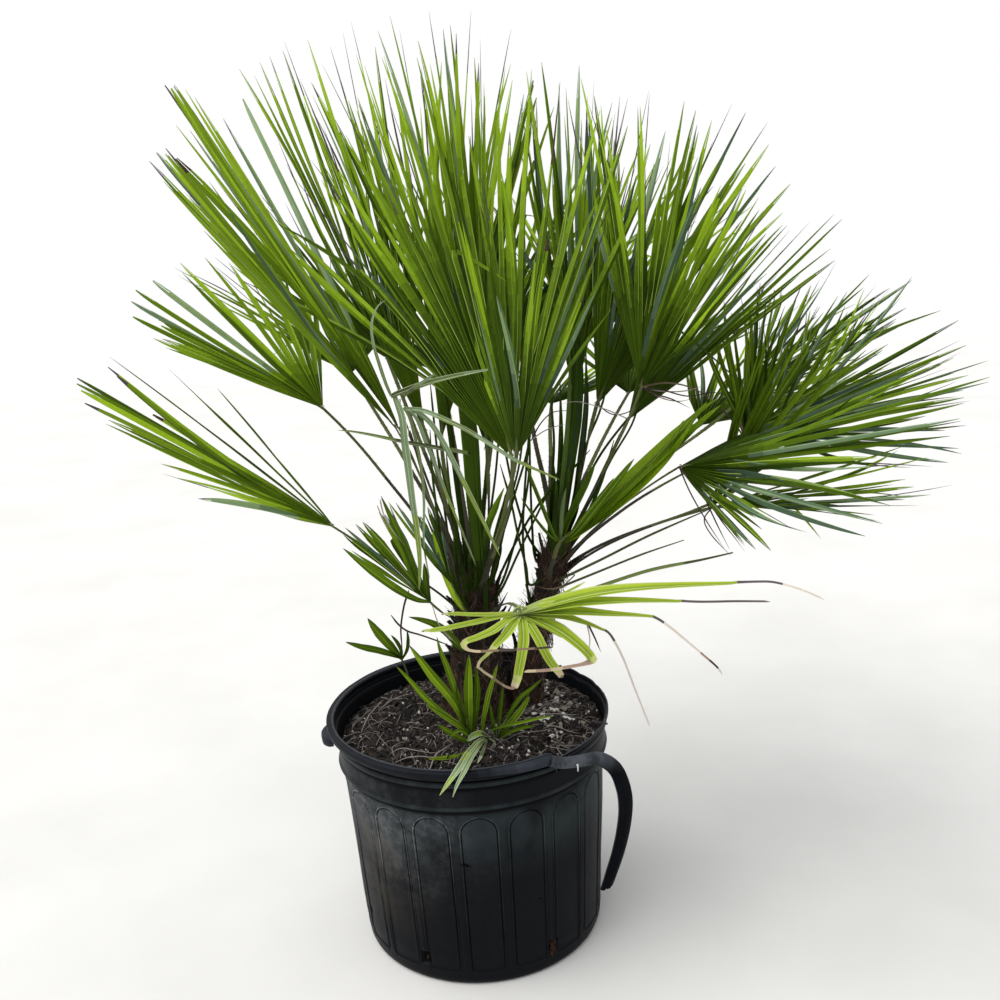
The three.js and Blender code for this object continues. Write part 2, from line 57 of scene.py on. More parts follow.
UP = np.array([0.0, 0.0, 1.0])


# ------------------------------------------------------------------ camera
PITCH, ROLL = 0.26253243, 0.06475683
CAM_AT = (0.06692748, -1.64600365, 1.13273321)


def make_camera():
    from mathutils import Matrix, Vector
    look = Vector((0, math.cos(PITCH), -math.sin(PITCH)))
    up = Vector((0, math.sin(PITCH), math.cos(PITCH)))
    side = Vector((1, 0, 0))
    c, s = math.cos(ROLL), math.sin(ROLL)
    x, y, z = side * c - up * s, side * s + up * c, -look
    data = bpy.data.cameras.new("camera")
    data.sensor_width = 36.0
    data.lens = 36.0 * 1150.0 / 1000.0
    data.clip_start, data.clip_end = 0.05, 50.0
    cam = bpy.data.objects.new("camera", data)
    m = Matrix((x, y, z)).transposed().to_4x4()
    m.translation = Vector(CAM_AT)
    cam.matrix_world = m
    SCENE.collection.objects.link(cam)
    SCENE.camera = cam
    return cam


make_camera()


# ------------------------------------------------------------------ small maths
def unit(v):
    v = np.asarray(v, float)
    n = np.linalg.norm(v, axis=-1, keepdims=True)
    return v / np.where(n < 1e-12, 1, n)


def ray(heading, rise):
    h, e = math.radians(heading), math.radians(rise)
    return np.array([math.cos(e) * math.cos(h), math.cos(e) * math.sin(h), math.sin(e)])


def sweep(a, b, t):
    w = math.acos(float(np.clip(a @ b, -1, 1)))
    if w < 1e-4:
        return a.copy()
    return unit((math.sin((1 - t) * w) * a + math.sin(t * w) * b) / math.sin(w))


def smooth(x, a, b):
    t = np.clip((x - a) / (b - a), 0, 1)
    return t * t * (3 - 2 * t)


def table(xs, ys):
    return lambda t: np.interp(t, xs, ys)


_lattice = np.random.default_rng(7).random((64, 64, 64))


def vnoise(p, scale):
    """Value noise between -1 and 1 at points p, features about 1/scale apart."""
    q = np.asarray(p, float) * scale + 17.3
    i = np.floor(q).astype(int)
    f = q - i
    f = f * f * (3 - 2 * f)
    out = 0
    for dx in (0, 1):
        for dy in (0, 1):
            for dz in (0, 1):
                w = (np.where(dx, f[..., 0], 1 - f[..., 0]) * np.where(dy, f[..., 1], 1 - f[..., 1])
                     * np.where(dz, f[..., 2], 1 - f[..., 2]))
                out = out + w * _lattice[(i[..., 0] + dx) % 64, (i[..., 1] + dy) % 64, (i[..., 2] + dz) % 64]
    return out * 2 - 1


def fnoise(p, scale, octaves=3):
    return sum(vnoise(p, scale * 2 ** k) * 0.5 ** k for k in range(octaves)) / (2 - 0.5 ** (octaves - 1))


# ------------------------------------------------------------------ mesh building
MADE = []  # the points of every mesh made so far, for whatever has to rest on one of them


class Soup:
    """Many small shapes joined into one mesh, each face with a material index."""

    def __init__(self):
        self.v, self.f, self.m, self.uv, self.n = [], [], [], [], 0

    def put(self, verts, faces, mat=0, uv=None):
        verts = np.asarray(verts, float).reshape(-1, 3)
        base = self.n
        faces = [tuple(int(i) + base for i in f) for f in faces]
        self.v.append(verts)
        self.f += faces
        self.m += list(mat) if np.ndim(mat) else [mat] * len(faces)
        self.uv.append(np.zeros((len(verts), 2)) if uv is None else np.asarray(uv, float).reshape(-1, 2))
        self.n += len(verts)

    def grid(self, pts, mat=0, close_u=False, uv=None):
        """pts (rows, cols, 3) as quads; mat may be (rows-1, cols-1 or cols)."""
        pts = np.asarray(pts, float)
        r, c = pts.shape[:2]
        i = np.arange(r - 1)[:, None]
        j = np.arange(c if close_u else c - 1)[None, :]
        a = i * c + j
        b = i * c + (j + 1) % c
        q = np.stack([a, b, b + c, a + c], -1).reshape(-1, 4) + self.n
        self.v.append(pts.reshape(-1, 3))
        self.f += [tuple(x) for x in q.tolist()]
        m = np.broadcast_to(np.asarray(mat), a.shape).reshape(-1).tolist()
        self.m += m
        self.uv.append(np.zeros((r * c, 2)) if uv is None else np.asarray(uv, float).reshape(-1, 2))
        self.n += r * c

    def make(self, name, materials, node=(), smooth_faces=True):
        mesh = bpy.data.meshes.new(name)
        v = np.concatenate(self.v)
        MADE.append(v)
        mesh.from_pydata(v.tolist(), [], self.f)
        mesh.polygons.foreach_set("material_index", self.m)
        mesh.polygons.foreach_set("use_smooth", [smooth_faces] * len(self.f))
        uv = np.concatenate(self.uv)
        layer = mesh.uv_layers.new(name="along")
        loops = np.empty(len(mesh.loops), int)
        mesh.loops.foreach_get("vertex_index", loops)
        layer.data.foreach_set("uv", uv[loops].astype(np.float32).ravel())
        for m in materials:
            mesh.materials.append(m)
        mesh.update()
        return finish_object(name, mesh, node)


def finish_object(name, mesh, node=()):
    ob = bpy.data.objects.new(name, mesh)
    SCENE.collection.objects.link(ob)
    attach(ob, "root")
    if node:
        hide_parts(*node)
    return ob


def frames(path):
    """Tangent, side and normal along a path, without sudden turns."""
    path = np.asarray(path, float)
    t = unit(np.gradient(path, axis=0))
    ref = np.array([0, 0, 1.0]) if abs(t[0][2]) < 0.9 else np.array([1.0, 0, 0])
    side = [unit(np.cross(t[0], ref))]
    for k in range(1, len(path)):
        s = side[-1] - t[k] * (side[-1] @ t[k])
        side.append(unit(s))
    side = np.array(side)
    return t, side, np.cross(side, t)


def tube(soup, path, radius, sides=8, mat=0, squash=1.0, cap=True, side0=None):
    """A tube of changing radius along a path; squash flattens it along its normal."""
    path = np.asarray(path, float)
    t, s, n = frames(path)
    if side0 is not None:
        s = unit(side0 - t * np.sum(t * side0, axis=1, keepdims=True))
        n = np.cross(s, t)
    r = np.broadcast_to(np.asarray(radius, float), (len(path),))
    w = np.linspace(0, 2 * math.pi, sides, endpoint=False)
    pts = (path[:, None] + s[:, None] * (np.cos(w)[None, :, None] * r[:, None, None])
           + n[:, None] * (np.sin(w)[None, :, None] * r[:, None, None] * squash))
    soup.grid(pts, mat, close_u=True)
    if cap:
        for row in (0, -1):
            ring = pts[row]
            c = ring.mean(0)
            m = mat if np.ndim(mat) == 0 else int(np.asarray(mat).reshape(-1)[row])
            faces = [(sides, k, (k + 1) % sides) if row else (sides, (k + 1) % sides, k) for k in range(sides)]
            soup.put(np.vstack([ring, c]), faces, m)
    return t, s, n


def bezier(a, b, c, d, n):
    t = np.linspace(0, 1, n)[:, None]
    return (1 - t) ** 3 * a + 3 * (1 - t) ** 2 * t * b + 3 * (1 - t) * t * t * c + t ** 3 * d


def spline(points, n):
    """A smooth curve through points (Catmull-Rom), n samples even in parameter."""
    p = np.asarray(points, float)
    p = np.vstack([2 * p[0] - p[1], p, 2 * p[-1] - p[-2]])
    out = []
    m = len(p) - 3
    for u in np.linspace(0, m, n):
        i = min(int(u), m - 1)
        t = u - i
        a, b, c, d = p[i:i + 4]
        out.append(0.5 * ((2 * b) + (c - a) * t + (2 * a - 5 * b + 4 * c - d) * t * t + (3 * b - a - 3 * c + d) * t ** 3))
    return np.array(out)


# ------------------------------------------------------------------ materials
def lin(r, g, b):
    """A linear colour from 0-255 values."""
    out = []
    for x in (r, g, b):
        x = x / 255
        out.append(x / 12.92 if x <= 0.04045 else ((x + 0.055) / 1.055) ** 2.4)
    return (*out, 1.0)


def new_material(name):
    m = bpy.data.materials.new(name)
    m.use_nodes = True
    nt = m.node_tree
    nt.nodes.clear()
    return m, nt


def node(nt, kind, **values):
    n = nt.nodes.new(kind)
    for k, v in values.items():
        if k in n.inputs:
            n.inputs[k].default_value = v
        else:
            setattr(n, k, v)
    return n


def mixer(nt, a, b, factor, blend="MIX"):
    """A colour mix node; a, b and factor are sockets or values."""
    n = nt.nodes.new("ShaderNodeMix")
    n.data_type = "RGBA"
    n.blend_type = blend
    for socket, value in ((n.inputs[0], factor), (n.inputs[6], a), (n.inputs[7], b)):
        if isinstance(value, bpy.types.NodeSocket):
            nt.links.new(value, socket)
        else:
            socket.default_value = value
    return n.outputs[2]


def ramp(nt, fac, stops):
    n = nt.nodes.new("ShaderNodeValToRGB")
    r = n.color_ramp
    while len(r.elements) < len(stops):
        r.elements.new(0.5)
    for e, (p, c) in zip(r.elements, stops):
        e.position = p
        e.color = c if len(c) == 4 else (*c, 1)
    nt.links.new(fac, n.inputs[0])
    return n.outputs[0]


def grey(v):
    return (v, v, v, 1)


def noise(nt, vector, scale, detail=3.0, rough=0.55, lac=2.0):
    n = node(nt, "ShaderNodeTexNoise")
    n.inputs["Scale"].default_value = scale
    n.inputs["Detail"].default_value = detail
    n.inputs["Roughness"].default_value = rough
    n.inputs["Lacunarity"].default_value = lac
    nt.links.new(vector, n.inputs["Vector"])
    return n.outputs["Fac"]


def mapped(nt, scale, source="Object"):
    tc = nt.nodes.new("ShaderNodeTexCoord")
    mp = nt.nodes.new("ShaderNodeMapping")
    mp.inputs["Scale"].default_value = scale
    nt.links.new(tc.outputs[source], mp.inputs["Vector"])
    return mp.outputs["Vector"]


def bump(nt, height, strength, distance):
    b = nt.nodes.new("ShaderNodeBump")
    b.inputs["Strength"].default_value = strength
    b.inputs["Distance"].default_value = distance
    nt.links.new(height, b.inputs["Height"])
    return b.outputs["Normal"]


def leaf_material(name, colour, through, rough=0.42, share=0.3, vary=0.16, sheen=0.0, veins=0.5, spec=0.22):
    """A living blade: satin upper skin with fine lengthwise veins, and light passing through."""
    m, nt = new_material(name)
    at = mapped(nt, (1, 1, 1))
    mottled = noise(nt, at, 22.0, 3.0)
    dark = tuple(c * (1 - vary) for c in colour[:3]) + (1,)
    light = tuple(min(1, c * (1 + vary)) for c in colour[:3]) + (1,)
    base = ramp(nt, mottled, [(0.3, dark), (0.72, light)])
    vein_at = mapped(nt, (1, 0.02, 1), "UV")
    v = nt.nodes.new("ShaderNodeTexWave")
    v.wave_type, v.bands_direction = "BANDS", "X"
    v.inputs["Scale"].default_value = 3.2
    v.inputs["Distortion"].default_value = 0.6
    v.inputs["Detail"].default_value = 1.0
    nt.links.new(vein_at, v.inputs["Vector"])
    p = node(nt, "ShaderNodeBsdfPrincipled")
    p.inputs["Roughness"].default_value = rough
    p.inputs["Specular IOR Level"].default_value = spec
    if sheen:
        p.inputs["Sheen Weight"].default_value = sheen
        p.inputs["Sheen Roughness"].default_value = 0.5
    nt.links.new(base, p.inputs["Base Color"])
    nt.links.new(bump(nt, v.outputs["Fac"], veins, 0.0004), p.inputs["Normal"])
    t = node(nt, "ShaderNodeBsdfTranslucent")
    t.inputs["Color"].default_value = through
    mix = node(nt, "ShaderNodeMixShader")
    mix.inputs[0].default_value = share
    nt.links.new(p.outputs[0], mix.inputs[1])
    nt.links.new(t.outputs[0], mix.inputs[2])
    out = node(nt, "ShaderNodeOutputMaterial")
    nt.links.new(mix.outputs[0], out.inputs[0])
    return m


def fibre_material(name, stops, rough=0.9, scale=(60, 60, 12), depth=0.0008, strength=0.8):
    """Dull plant stuff: colour from stretched noise, with a fibrous relief."""
    m, nt = new_material(name)
    at = mapped(nt, scale)
    n1 = noise(nt, at, 1.0, 5.0, 0.6)
    colour = ramp(nt, n1, stops)
    n2 = noise(nt, at, 5.0, 3.0, 0.6)
    p = node(nt, "ShaderNodeBsdfPrincipled")
    p.inputs["Roughness"].default_value = rough
    p.inputs["Specular IOR Level"].default_value = 0.25
    nt.links.new(colour, p.inputs["Base Color"])
    nt.links.new(bump(nt, n2, strength, depth), p.inputs["Normal"])
    out = node(nt, "ShaderNodeOutputMaterial")
    nt.links.new(p.outputs[0], out.inputs[0])
    return m


def pot_material(name, base, dust, film, rough=(0.38, 0.62), dusty=0.5, banded=False, top_highlight=0.0, spec=0.06):
    """Moulded black polythene: scuffed satin skin, dried dust and a faint film where water ran."""
    m, nt = new_material(name)
    at = mapped(nt, (1, 1, 1))
    cloudy = noise(nt, at, 15.0, 8.0, 0.68)
    fine = noise(nt, at, 90.0, 4.0, 0.65)
    streak = noise(nt, mapped(nt, (38, 38, 3.2)), 1.0, 4.0, 0.6)
    sep = nt.nodes.new("ShaderNodeSeparateXYZ")
    tc = nt.nodes.new("ShaderNodeTexCoord")
    nt.links.new(tc.outputs["Object"], sep.inputs[0])

    def math_node(op, a, b=None, clamp=False):
        n = nt.nodes.new("ShaderNodeMath")
        n.operation, n.use_clamp = op, clamp
        for s, v in zip(n.inputs, (a, b)):
            if v is None:
                continue
            if isinstance(v, bpy.types.NodeSocket):
                nt.links.new(v, s)
            else:
                s.default_value = v
        return n.outputs[0]

    def spread(value, lo, hi):
        n = nt.nodes.new("ShaderNodeMapRange")
        n.interpolation_type = "SMOOTHSTEP"
        nt.links.new(value, n.inputs["Value"])
        n.inputs["From Min"].default_value, n.inputs["From Max"].default_value = lo, hi
        return n.outputs["Result"]

    # dust lies on the upper left of the wall, and thinly elsewhere
    left = spread(sep.outputs["X"], 0.05, -0.16)
    high = math_node("MULTIPLY", spread(sep.outputs["Z"], 0.10, 0.27), math_node("ADD", math_node("MULTIPLY", spread(sep.outputs["Z"], 0.300, 0.286), 0.72), 0.28))
    place = math_node("MULTIPLY", left, high)
    broken = spread(math_node("ADD", cloudy, math_node("MULTIPLY", streak, 0.6)), 0.62, 0.95)
    dust_f = math_node("MULTIPLY", math_node("ADD", math_node("MULTIPLY", place, 0.95), 0.015),
                       math_node("MULTIPLY", math_node("ADD", math_node("MULTIPLY", broken, 0.85), 0.15), dusty))
    # dried earth washed down the far left, and a greenish film under the collar
    belt = math_node("MULTIPLY", spread(sep.outputs["Z"], 0.05, 0.16), spread(sep.outputs["Z"], 0.27, 0.21))
    earth_f = math_node("MULTIPLY", math_node("MULTIPLY", spread(sep.outputs["X"], -0.05, -0.19), belt), math_node("MULTIPLY", broken, 0.5))
    film_f = math_node("MULTIPLY", math_node("MULTIPLY", spread(noise(nt, mapped(nt, (9, 9, 5)), 1.0, 4.0, 0.65), 0.36, 0.62), 0.75),
                       math_node("MULTIPLY", spread(sep.outputs["Z"], 0.165, 0.255), spread(sep.outputs["Z"], 0.305, 0.275)))
    scuffed = math_node("ADD", math_node("MULTIPLY", spread(fine, 0.38, 0.62), 0.75), 0.50)
    dust_f = math_node("MULTIPLY", dust_f, scuffed, True)
    spots = spread(fine, 0.66, 0.78)
    col = mixer(nt, base, film, film_f)
    col = mixer(nt, col, dust, dust_f)
    col = mixer(nt, col, (0.066, 0.055, 0.040, 1), earth_f)
    col = mixer(nt, col, dust, math_node("MULTIPLY", spots, 0.05))
    if banded:  # painted shade lies in the steps of the collar and painted highlights on their crests
        def between(a, b, c, d):
            return math_node("MULTIPLY", spread(sep.outputs["Z"], a, b), spread(sep.outputs["Z"], d, c))
        groove_shade = math_node("ADD", math_node("ADD", between(0.2885, 0.2930, 0.2965, 0.2990), between(0.3270, 0.3310, 0.3345, 0.3370)), between(0.3435, 0.3460, 0.3490, 0.3505), True)
        crest_highlight = math_node("ADD", between(0.2975, 0.3000, 0.3030, 0.3065), between(0.3350, 0.3375, 0.3415, 0.3450), True)
        highlight_breakup = math_node("ADD", math_node("MULTIPLY", broken, 0.5), 0.25)
        col = mixer(nt, col, film, math_node("MULTIPLY", crest_highlight, highlight_breakup))
        col = mixer(nt, col, (0.0012, 0.0013, 0.0018, 1), math_node("MULTIPLY", groove_shade, 0.85))
    if top_highlight:  # the top of a piece is painted pale as a highlight
        col = mixer(nt, col, dust, math_node("MULTIPLY", spread(sep.outputs["Z"], 0.305, 0.352), math_node("MULTIPLY", math_node("ADD", math_node("MULTIPLY", broken, 0.6), 0.3), top_highlight)))
    p = node(nt, "ShaderNodeBsdfPrincipled")
    nt.links.new(col, p.inputs["Base Color"])
    r = nt.nodes.new("ShaderNodeMapRange")
    nt.links.new(math_node("ADD", math_node("MULTIPLY", fine, 0.5), math_node("MULTIPLY", dust_f, 0.7)), r.inputs["Value"])
    r.inputs["From Min"].default_value, r.inputs["From Max"].default_value = 0.15, 0.75
    r.inputs["To Min"].default_value, r.inputs["To Max"].default_value = rough
    nt.links.new(r.outputs["Result"], p.inputs["Roughness"])
    p.inputs["Specular IOR Level"].default_value = spec
    grain = math_node("ADD", math_node("MULTIPLY", noise(nt, at, 420.0, 2.0), 0.25), math_node("MULTIPLY", streak, 0.75))
    nt.links.new(bump(nt, grain, 0.35, 0.0006), p.inputs["Normal"])
    out = node(nt, "ShaderNodeOutputMaterial")
    nt.links.new(p.outputs[0], out.inputs[0])
    return m


def solid_material(name, colour, rough=0.7, vary=0.2, scale=120.0, spec=0.3, relief=0.3):
    m, nt = new_material(name)
    at = mapped(nt, (1, 1, 1))
    f = noise(nt, at, scale, 3.0)
    base = ramp(nt, f, [(0.3, tuple(c * (1 - vary) for c in colour[:3]) + (1,)),
                        (0.7, tuple(min(1, c * (1 + vary)) for c in colour[:3]) + (1,))])
    p = node(nt, "ShaderNodeBsdfPrincipled")
    p.inputs["Roughness"].default_value = rough
    p.inputs["Specular IOR Level"].default_value = spec
    nt.links.new(base, p.inputs["Base Color"])
    nt.links.new(bump(nt, f, relief, 0.0005), p.inputs["Normal"])
    out = node(nt, "ShaderNodeOutputMaterial")
    nt.links.new(p.outputs[0], out.inputs[0])
    return m


# leaf tones: (upper colour, light through), from bright to shaded to bluish and pale
TONES = {
    "bright": ((0.180, 0.300, 0.010, 1), (0.38, 0.56, 0.02, 1)),
    "fresh": ((0.120, 0.215, 0.008, 1), (0.26, 0.43, 0.016, 1)),
    "mid": ((0.070, 0.138, 0.006, 1), (0.16, 0.28, 0.012, 1)),
    "deep": ((0.040, 0.080, 0.004, 1), (0.10, 0.18, 0.009, 1)),
    "shade": ((0.021, 0.040, 0.003, 1), (0.05, 0.09, 0.006, 1)),
    "glaucous": ((0.105, 0.150, 0.070, 1), (0.20, 0.28, 0.10, 1)),
    "blue": ((0.026, 0.058, 0.026, 1), (0.07, 0.14, 0.05, 1)),
}
LEAF = list(TONES)
leaf_mats = [leaf_material("leaf_" + k, c, t, spec=0.22 if k in ("glaucous", "blue") else 0.07) for k, (c, t) in TONES.items()]
# the pale rib colour is a painted highlight on midribs and margins
leaf_mats.append(leaf_material("leaf_rib_highlight", (0.240, 0.330, 0.050, 1), (0.34, 0.45, 0.07, 1), rough=0.5, share=0.15, vary=0.1, spec=0.10))
leaf_mats.append(leaf_material("leaf_tip", (0.082, 0.070, 0.080, 1), (0.12, 0.10, 0.11, 1), rough=0.7, share=0.2, vary=0.2, spec=0.1))
leaf_mats.append(leaf_material("leaf_scorch", (0.060, 0.040, 0.026, 1), (0.10, 0.07, 0.04, 1), rough=0.75, share=0.1, vary=0.3, spec=0.1))
RIB_HIGHLIGHT, TIP, SCORCH = len(LEAF), len(LEAF) + 1, len(LEAF) + 2
# thirteen steps of green for the fronds, from sunlit to deep shade, and six of the bluish bloom
GREEN0, GREENS, BLOOMS = len(leaf_mats), 13, 6
for k in range(GREENS):
    f = k / (GREENS - 1)
    c = [math.exp((1 - f) * math.log(a) + f * math.log(b)) for a, b in ((0.245, 0.0100), (0.385, 0.0220), (0.0180, 0.0018))]
    leaf_mats.append(leaf_material("green_%d" % k, (*c, 1), (min(c[0] * 2.2, 0.6), min(c[1] * 2.0, 0.8), c[2] * 1.8, 1), share=0.34, vary=0.14, rough=0.46, spec=0.06))
BLOOM0 = len(leaf_mats)
for k in range(BLOOMS):
    f = k / (BLOOMS - 1)
    c = [math.exp((1 - f) * math.log(a) + f * math.log(b)) for a, b in ((0.220, 0.020), (0.310, 0.042), (0.170, 0.024))]
    leaf_mats.append(leaf_material("bloom_%d" % k, (*c, 1), (c[0] * 1.6, c[1] * 1.6, c[2] * 1.3, 1), share=0.24, vary=0.14, spec=0.15))


# ------------------------------------------------------------------ fronds
# name, parent, hub, three rays of the fan (heading, rise, reach): first edge, middle, last edge; segments
FRONDS = [
    ('left_low', 'left', (-0.167, -0.100, 0.694), (127, 28, 0.340), (-166, 38, 0.388), (-115, 20, 0.260), 14),
    ('left_tall_upper', 'left', (-0.073, 0.020, 0.801), (-123, 51, 0.580), (-156, 61, 0.552), (125, 52, 0.580), 13),
    ('left_tall_lower', 'left', (-0.072, -0.060, 0.821), (-123, 43, 0.500), (-162, 54, 0.466), (149, 48, 0.500), 9),
    ('right_low', 'right', (0.317, -0.100, 0.748), (22, 17, 0.400), (-55, 17, 0.440), (-77, -18, 0.200), 22),
    ('front_centre', 'left', (0.086, -0.200, 0.799), (146, 38, 0.500), (125, 68, 0.580), (48, 42, 0.500), 34),
    ('centre_mid', 'left', (0.053, -0.020, 0.772), (139, 68, 0.600), (-113, 81, 0.588), (76, 64, 0.600), 18),
    ('centre_back', 'left', (-0.017, 0.080, 0.770), (98, 68, 0.600), (27, 80, 0.620), (54, 55, 0.600), 14),
    ('right_mid', 'right', (0.273, -0.060, 0.855), (107, 56, 0.540), (-26, 79, 0.370), (-60, 33, 0.360), 26),
    ('right_tall', 'right', (0.218, 0.020, 0.820), (86, 72, 0.480), (-16, 66, 0.416), (28, 36, 0.460), 24),
    ('right_wide', 'right', (0.458, 0.120, 0.730), (-65, 40, 0.300), (-19, 23, 0.340), (6, -12, 0.360), 18),
    ('left_mid', 'left', (-0.198, 0.120, 0.824), (-127, 21, 0.300), (-166, 37, 0.311), (93, 50, 0.280), 18),
    ('yellow_low', 'left', (0.086, -0.220, 0.594), (-173, -6, 0.132), (-86, -55, 0.100), (-13, 5, 0.356), 13),
    ('right_up', 'right', (0.455, 0.060, 0.683), (79, 46, 0.320), (45, 43, 0.360), (25, 42, 0.420), 14),
    ('right_far', 'right', (0.479, 0.250, 0.769), (65, 40, 0.320), (35, 29, 0.360), (20, 13, 0.420), 16),
    ('right_under', 'right', (0.378, -0.020, 0.664), (20, 8, 0.340), (9, -6, 0.340), (35, -10, 0.200), 12),
    ('right_inner', 'right', (0.148, -0.080, 0.643), (-132, 64, 0.160), (-50, 44, 0.200), (-2, 41, 0.300), 9),
    ('centre_left_back', 'left', (-0.043, 0.120, 0.776), (141, 59, 0.640), (129, 66, 0.640), (101, 71, 0.600), 18),
    ('centre_right_back', 'right', (0.196, 0.160, 0.804), (115, 69, 0.520), (63, 79, 0.500), (49, 63, 0.460), 18),
    ('right_fore', 'right', (0.258, -0.020, 0.802), (-76, 57, 0.420), (-13, 56, 0.371), (18, 29, 0.400), 16),
    ('front_inner', 'left', (0.091, -0.235, 0.809), (116, 45, 0.260), (-83, 65, 0.340), (50, 37, 0.280), 13),
    ('centre_behind', 'left', (0.027, 0.220, 0.779), (-175, 70, 0.520), (-81, 84, 0.547), (33, 66, 0.520), 20),
    ('pup_left_outer', 'left', (-0.040, -0.130, 0.585), (176, 36, 0.141), (168, 51, 0.163), (137, 70, 0.143), 7),
    ('pup_left_inner', 'left', (-0.008, -0.110, 0.601), (167, 52, 0.150), (122, 50, 0.140), (102, 52, 0.100), 6),
    ('pup_front_left', 'soil', (-0.003, -0.092, 0.386), (-166, 46, 0.141), (166, 77, 0.129), (-9, 59, 0.102), 6),
    ('pup_front_right', 'soil', (0.047, -0.086, 0.366), (93, 83, 0.047), (13, 48, 0.076), (-10, 13, 0.081), 5),
    ('pup_rim', 'soil', (-0.106, 0.040, 0.438), (-146, 28, 0.102), (-167, 57, 0.082), (28, 70, 0.063), 4),
    ('back_left_low', 'left', (-0.170, 0.290, 0.850), (61, 23, 0.320), (120, 26, 0.400), (-179, 31, 0.320), 18),
    ('back_left_high', 'left', (-0.100, 0.220, 0.880), (43, 45, 0.352), (115, 50, 0.440), (178, 36, 0.352), 20),
    ('back_low', 'left', (-0.020, 0.360, 0.830), (32, 20, 0.320), (95, 20, 0.400), (158, 20, 0.320), 20),
    ('back_high', 'left', (0.085, 0.250, 0.890), (13, 30, 0.336), (76, 46, 0.420), (150, 43, 0.336), 20),
    ('back_mid', 'right', (0.120, 0.330, 0.860), (12, 32, 0.336), (78, 30, 0.420), (140, 22, 0.336), 20),
    ('back_right_high', 'right', (0.220, 0.240, 0.880), (-2, 33, 0.336), (62, 48, 0.420), (134, 43, 0.336), 20),
    ('back_right_low', 'right', (0.300, 0.320, 0.780), (-3, 24, 0.320), (58, 18, 0.400), (117, 16, 0.320), 20),
    ('back_right_far', 'right', (0.420, 0.300, 0.720), (-18, 12, 0.304), (38, 12, 0.380), (94, 22, 0.304), 18),
    ('back_drop', 'right', (0.170, 0.380, 0.760), (20, 10, 0.288), (80, 2, 0.360), (140, 10, 0.288), 18),
    ('pale_bent', 'left', (-0.061, -0.120, 0.868), (3, 16, 0.127), (-64, -41, 0.260), (-86, -71, 0.255), 5),
]
def seen(u, v, y):
    """The point at depth y that the camera sees at (u, v) in its square frame of 1000 steps a side."""
    a, b = (u - 500.0) / 1150.0, (500.0 - v) / 1150.0
    c, sn = math.cos(ROLL), math.sin(ROLL)
    x, h = c * a + sn * b, -sn * a + c * b
    d = np.array([x, math.cos(PITCH) + h * math.sin(PITCH), -math.sin(PITCH) + h * math.cos(PITCH)])
    at = np.array(CAM_AT)
    return at + d * ((y - at[1]) / d[1])


TRUNK_TOP = {"left": np.array([0.024, 0.0, 0.560]), "right": np.array([0.150, 0.0, 0.622])}
TRUNK_AXES = {
    "left": np.array([(0.006, 0.030, 0.345), (0.008, 0.022, 0.372), (0.014, 0.010, 0.430), (0.020, 0.004, 0.500), (0.024, 0.0, 0.560)]),
    "right": np.array([(0.080, 0.050, 0.345), (0.092, 0.042, 0.400), (0.112, 0.028, 0.480), (0.134, 0.012, 0.560), (0.150, 0.0, 0.622)]),
}
MIX_TOP = 0.345
PALMAN = 0.30  # joined part of the blade
ROWS_ALONG = 19

# how far out a blade is widest, and how it tapers to its thread-like tip
WIDTH = table([0.0, 0.12, 0.26, 0.38, 0.5, 0.62, 0.74, 0.84, 0.91, 0.95, 0.98, 1.0],
              [0.62, 0.78, 0.98, 1.0, 0.93, 0.85, 0.76, 0.64, 0.48, 0.33, 0.18, 0.06])
# stiff bundles that keep their width nearly to the end: the places across the fan
WIDTH_BLUNT = table([0.0, 0.12, 0.26, 0.38, 0.5, 0.8, 0.92, 0.965, 1.0], [0.62, 0.78, 0.98, 1.0, 0.97, 0.92, 0.84, 0.62, 0.26])
BLUNT = {"left_tall_upper": [(-0.16, 0.27), (0.84, 1.0)], "left_tall_lower": [(0.22, 0.80)], "left_low": [(-0.1, 0.25)], "left_mid": [(-0.35, 0.2)],
         "centre_back": [(0.68, 0.95)]}
# parts of a fan that stay short, and by how much
SHORT = {"centre_back": (-0.45, -0.12, 0.80), "front_centre": (0.13, 0.28, 0.86), "left_tall_upper": (0.32, 0.80, 0.74)}
# fronds with broader segments than their length gives them
WIDER = {"right_tall": 1.28, "left_low": 1.15, "left_mid": 1.25}
# fronds whose segments stand at uneven places across the fan
SLOTS = {"left_low": [-0.95, -0.70, -0.40, -0.15, -0.08, -0.02, 0.04, 0.10, 0.16, 0.23, 0.30, 0.38, 0.47, 0.58, 0.68, 0.80],
         "left_mid": [-0.62, -0.53, -0.43, -0.34, -0.24, -0.15, -0.06, 0.04, 0.13, 0.23, 0.32, 0.41, 0.51, 0.60, 0.70, 0.79, 0.89, 0.98]}
# tone of a frond: mean step of green, spread, share of segments with a bluish bloom, how far out from the hub it is
# painted with shade, how much painted shade
MOOD = {
    "lit": (0.6, 2.1, 0.08, 0.50, 4.4),
    "top": (0.7, 2.2, 0.09, 0.64, 4.9),
    "mixed": (2.6, 2.2, 0.16, 0.46, 3.8),
    "quiet": (3.5, 2.1, 0.16, 0.40, 3.6),
    "grey": (4.4, 2.3, 0.44, 0.36, 3.4),
    "left": (1.3, 2.0, 0.13, 0.30, 3.4),
    "left_open": (0.8, 2.2, 0.14, 0.26, 2.8),
    "bluish": (5.8, 1.5, 0.40, 0.20, 2.0),
    "fresh": (2.2, 1.3, 0.0, 0.25, 3.0),
}
FROND_MOOD = {
    "left_low": "left_open", "left_mid": "left_open", "left_tall_upper": "left", "left_tall_lower": "left", "front_centre": "top",
    "front_inner": "mixed", "centre_mid": "top", "centre_back": "top", "centre_left_back": "top",
    "centre_behind": "mixed", "centre_right_back": "mixed", "right_tall": "mixed",
    "right_mid": "mixed", "right_fore": "quiet", "right_low": "grey", "right_under": "quiet",
    "right_up": "grey", "right_far": "grey", "right_wide": "grey",
    "pup_left_outer": "bluish", "pup_left_inner": "bluish",
}
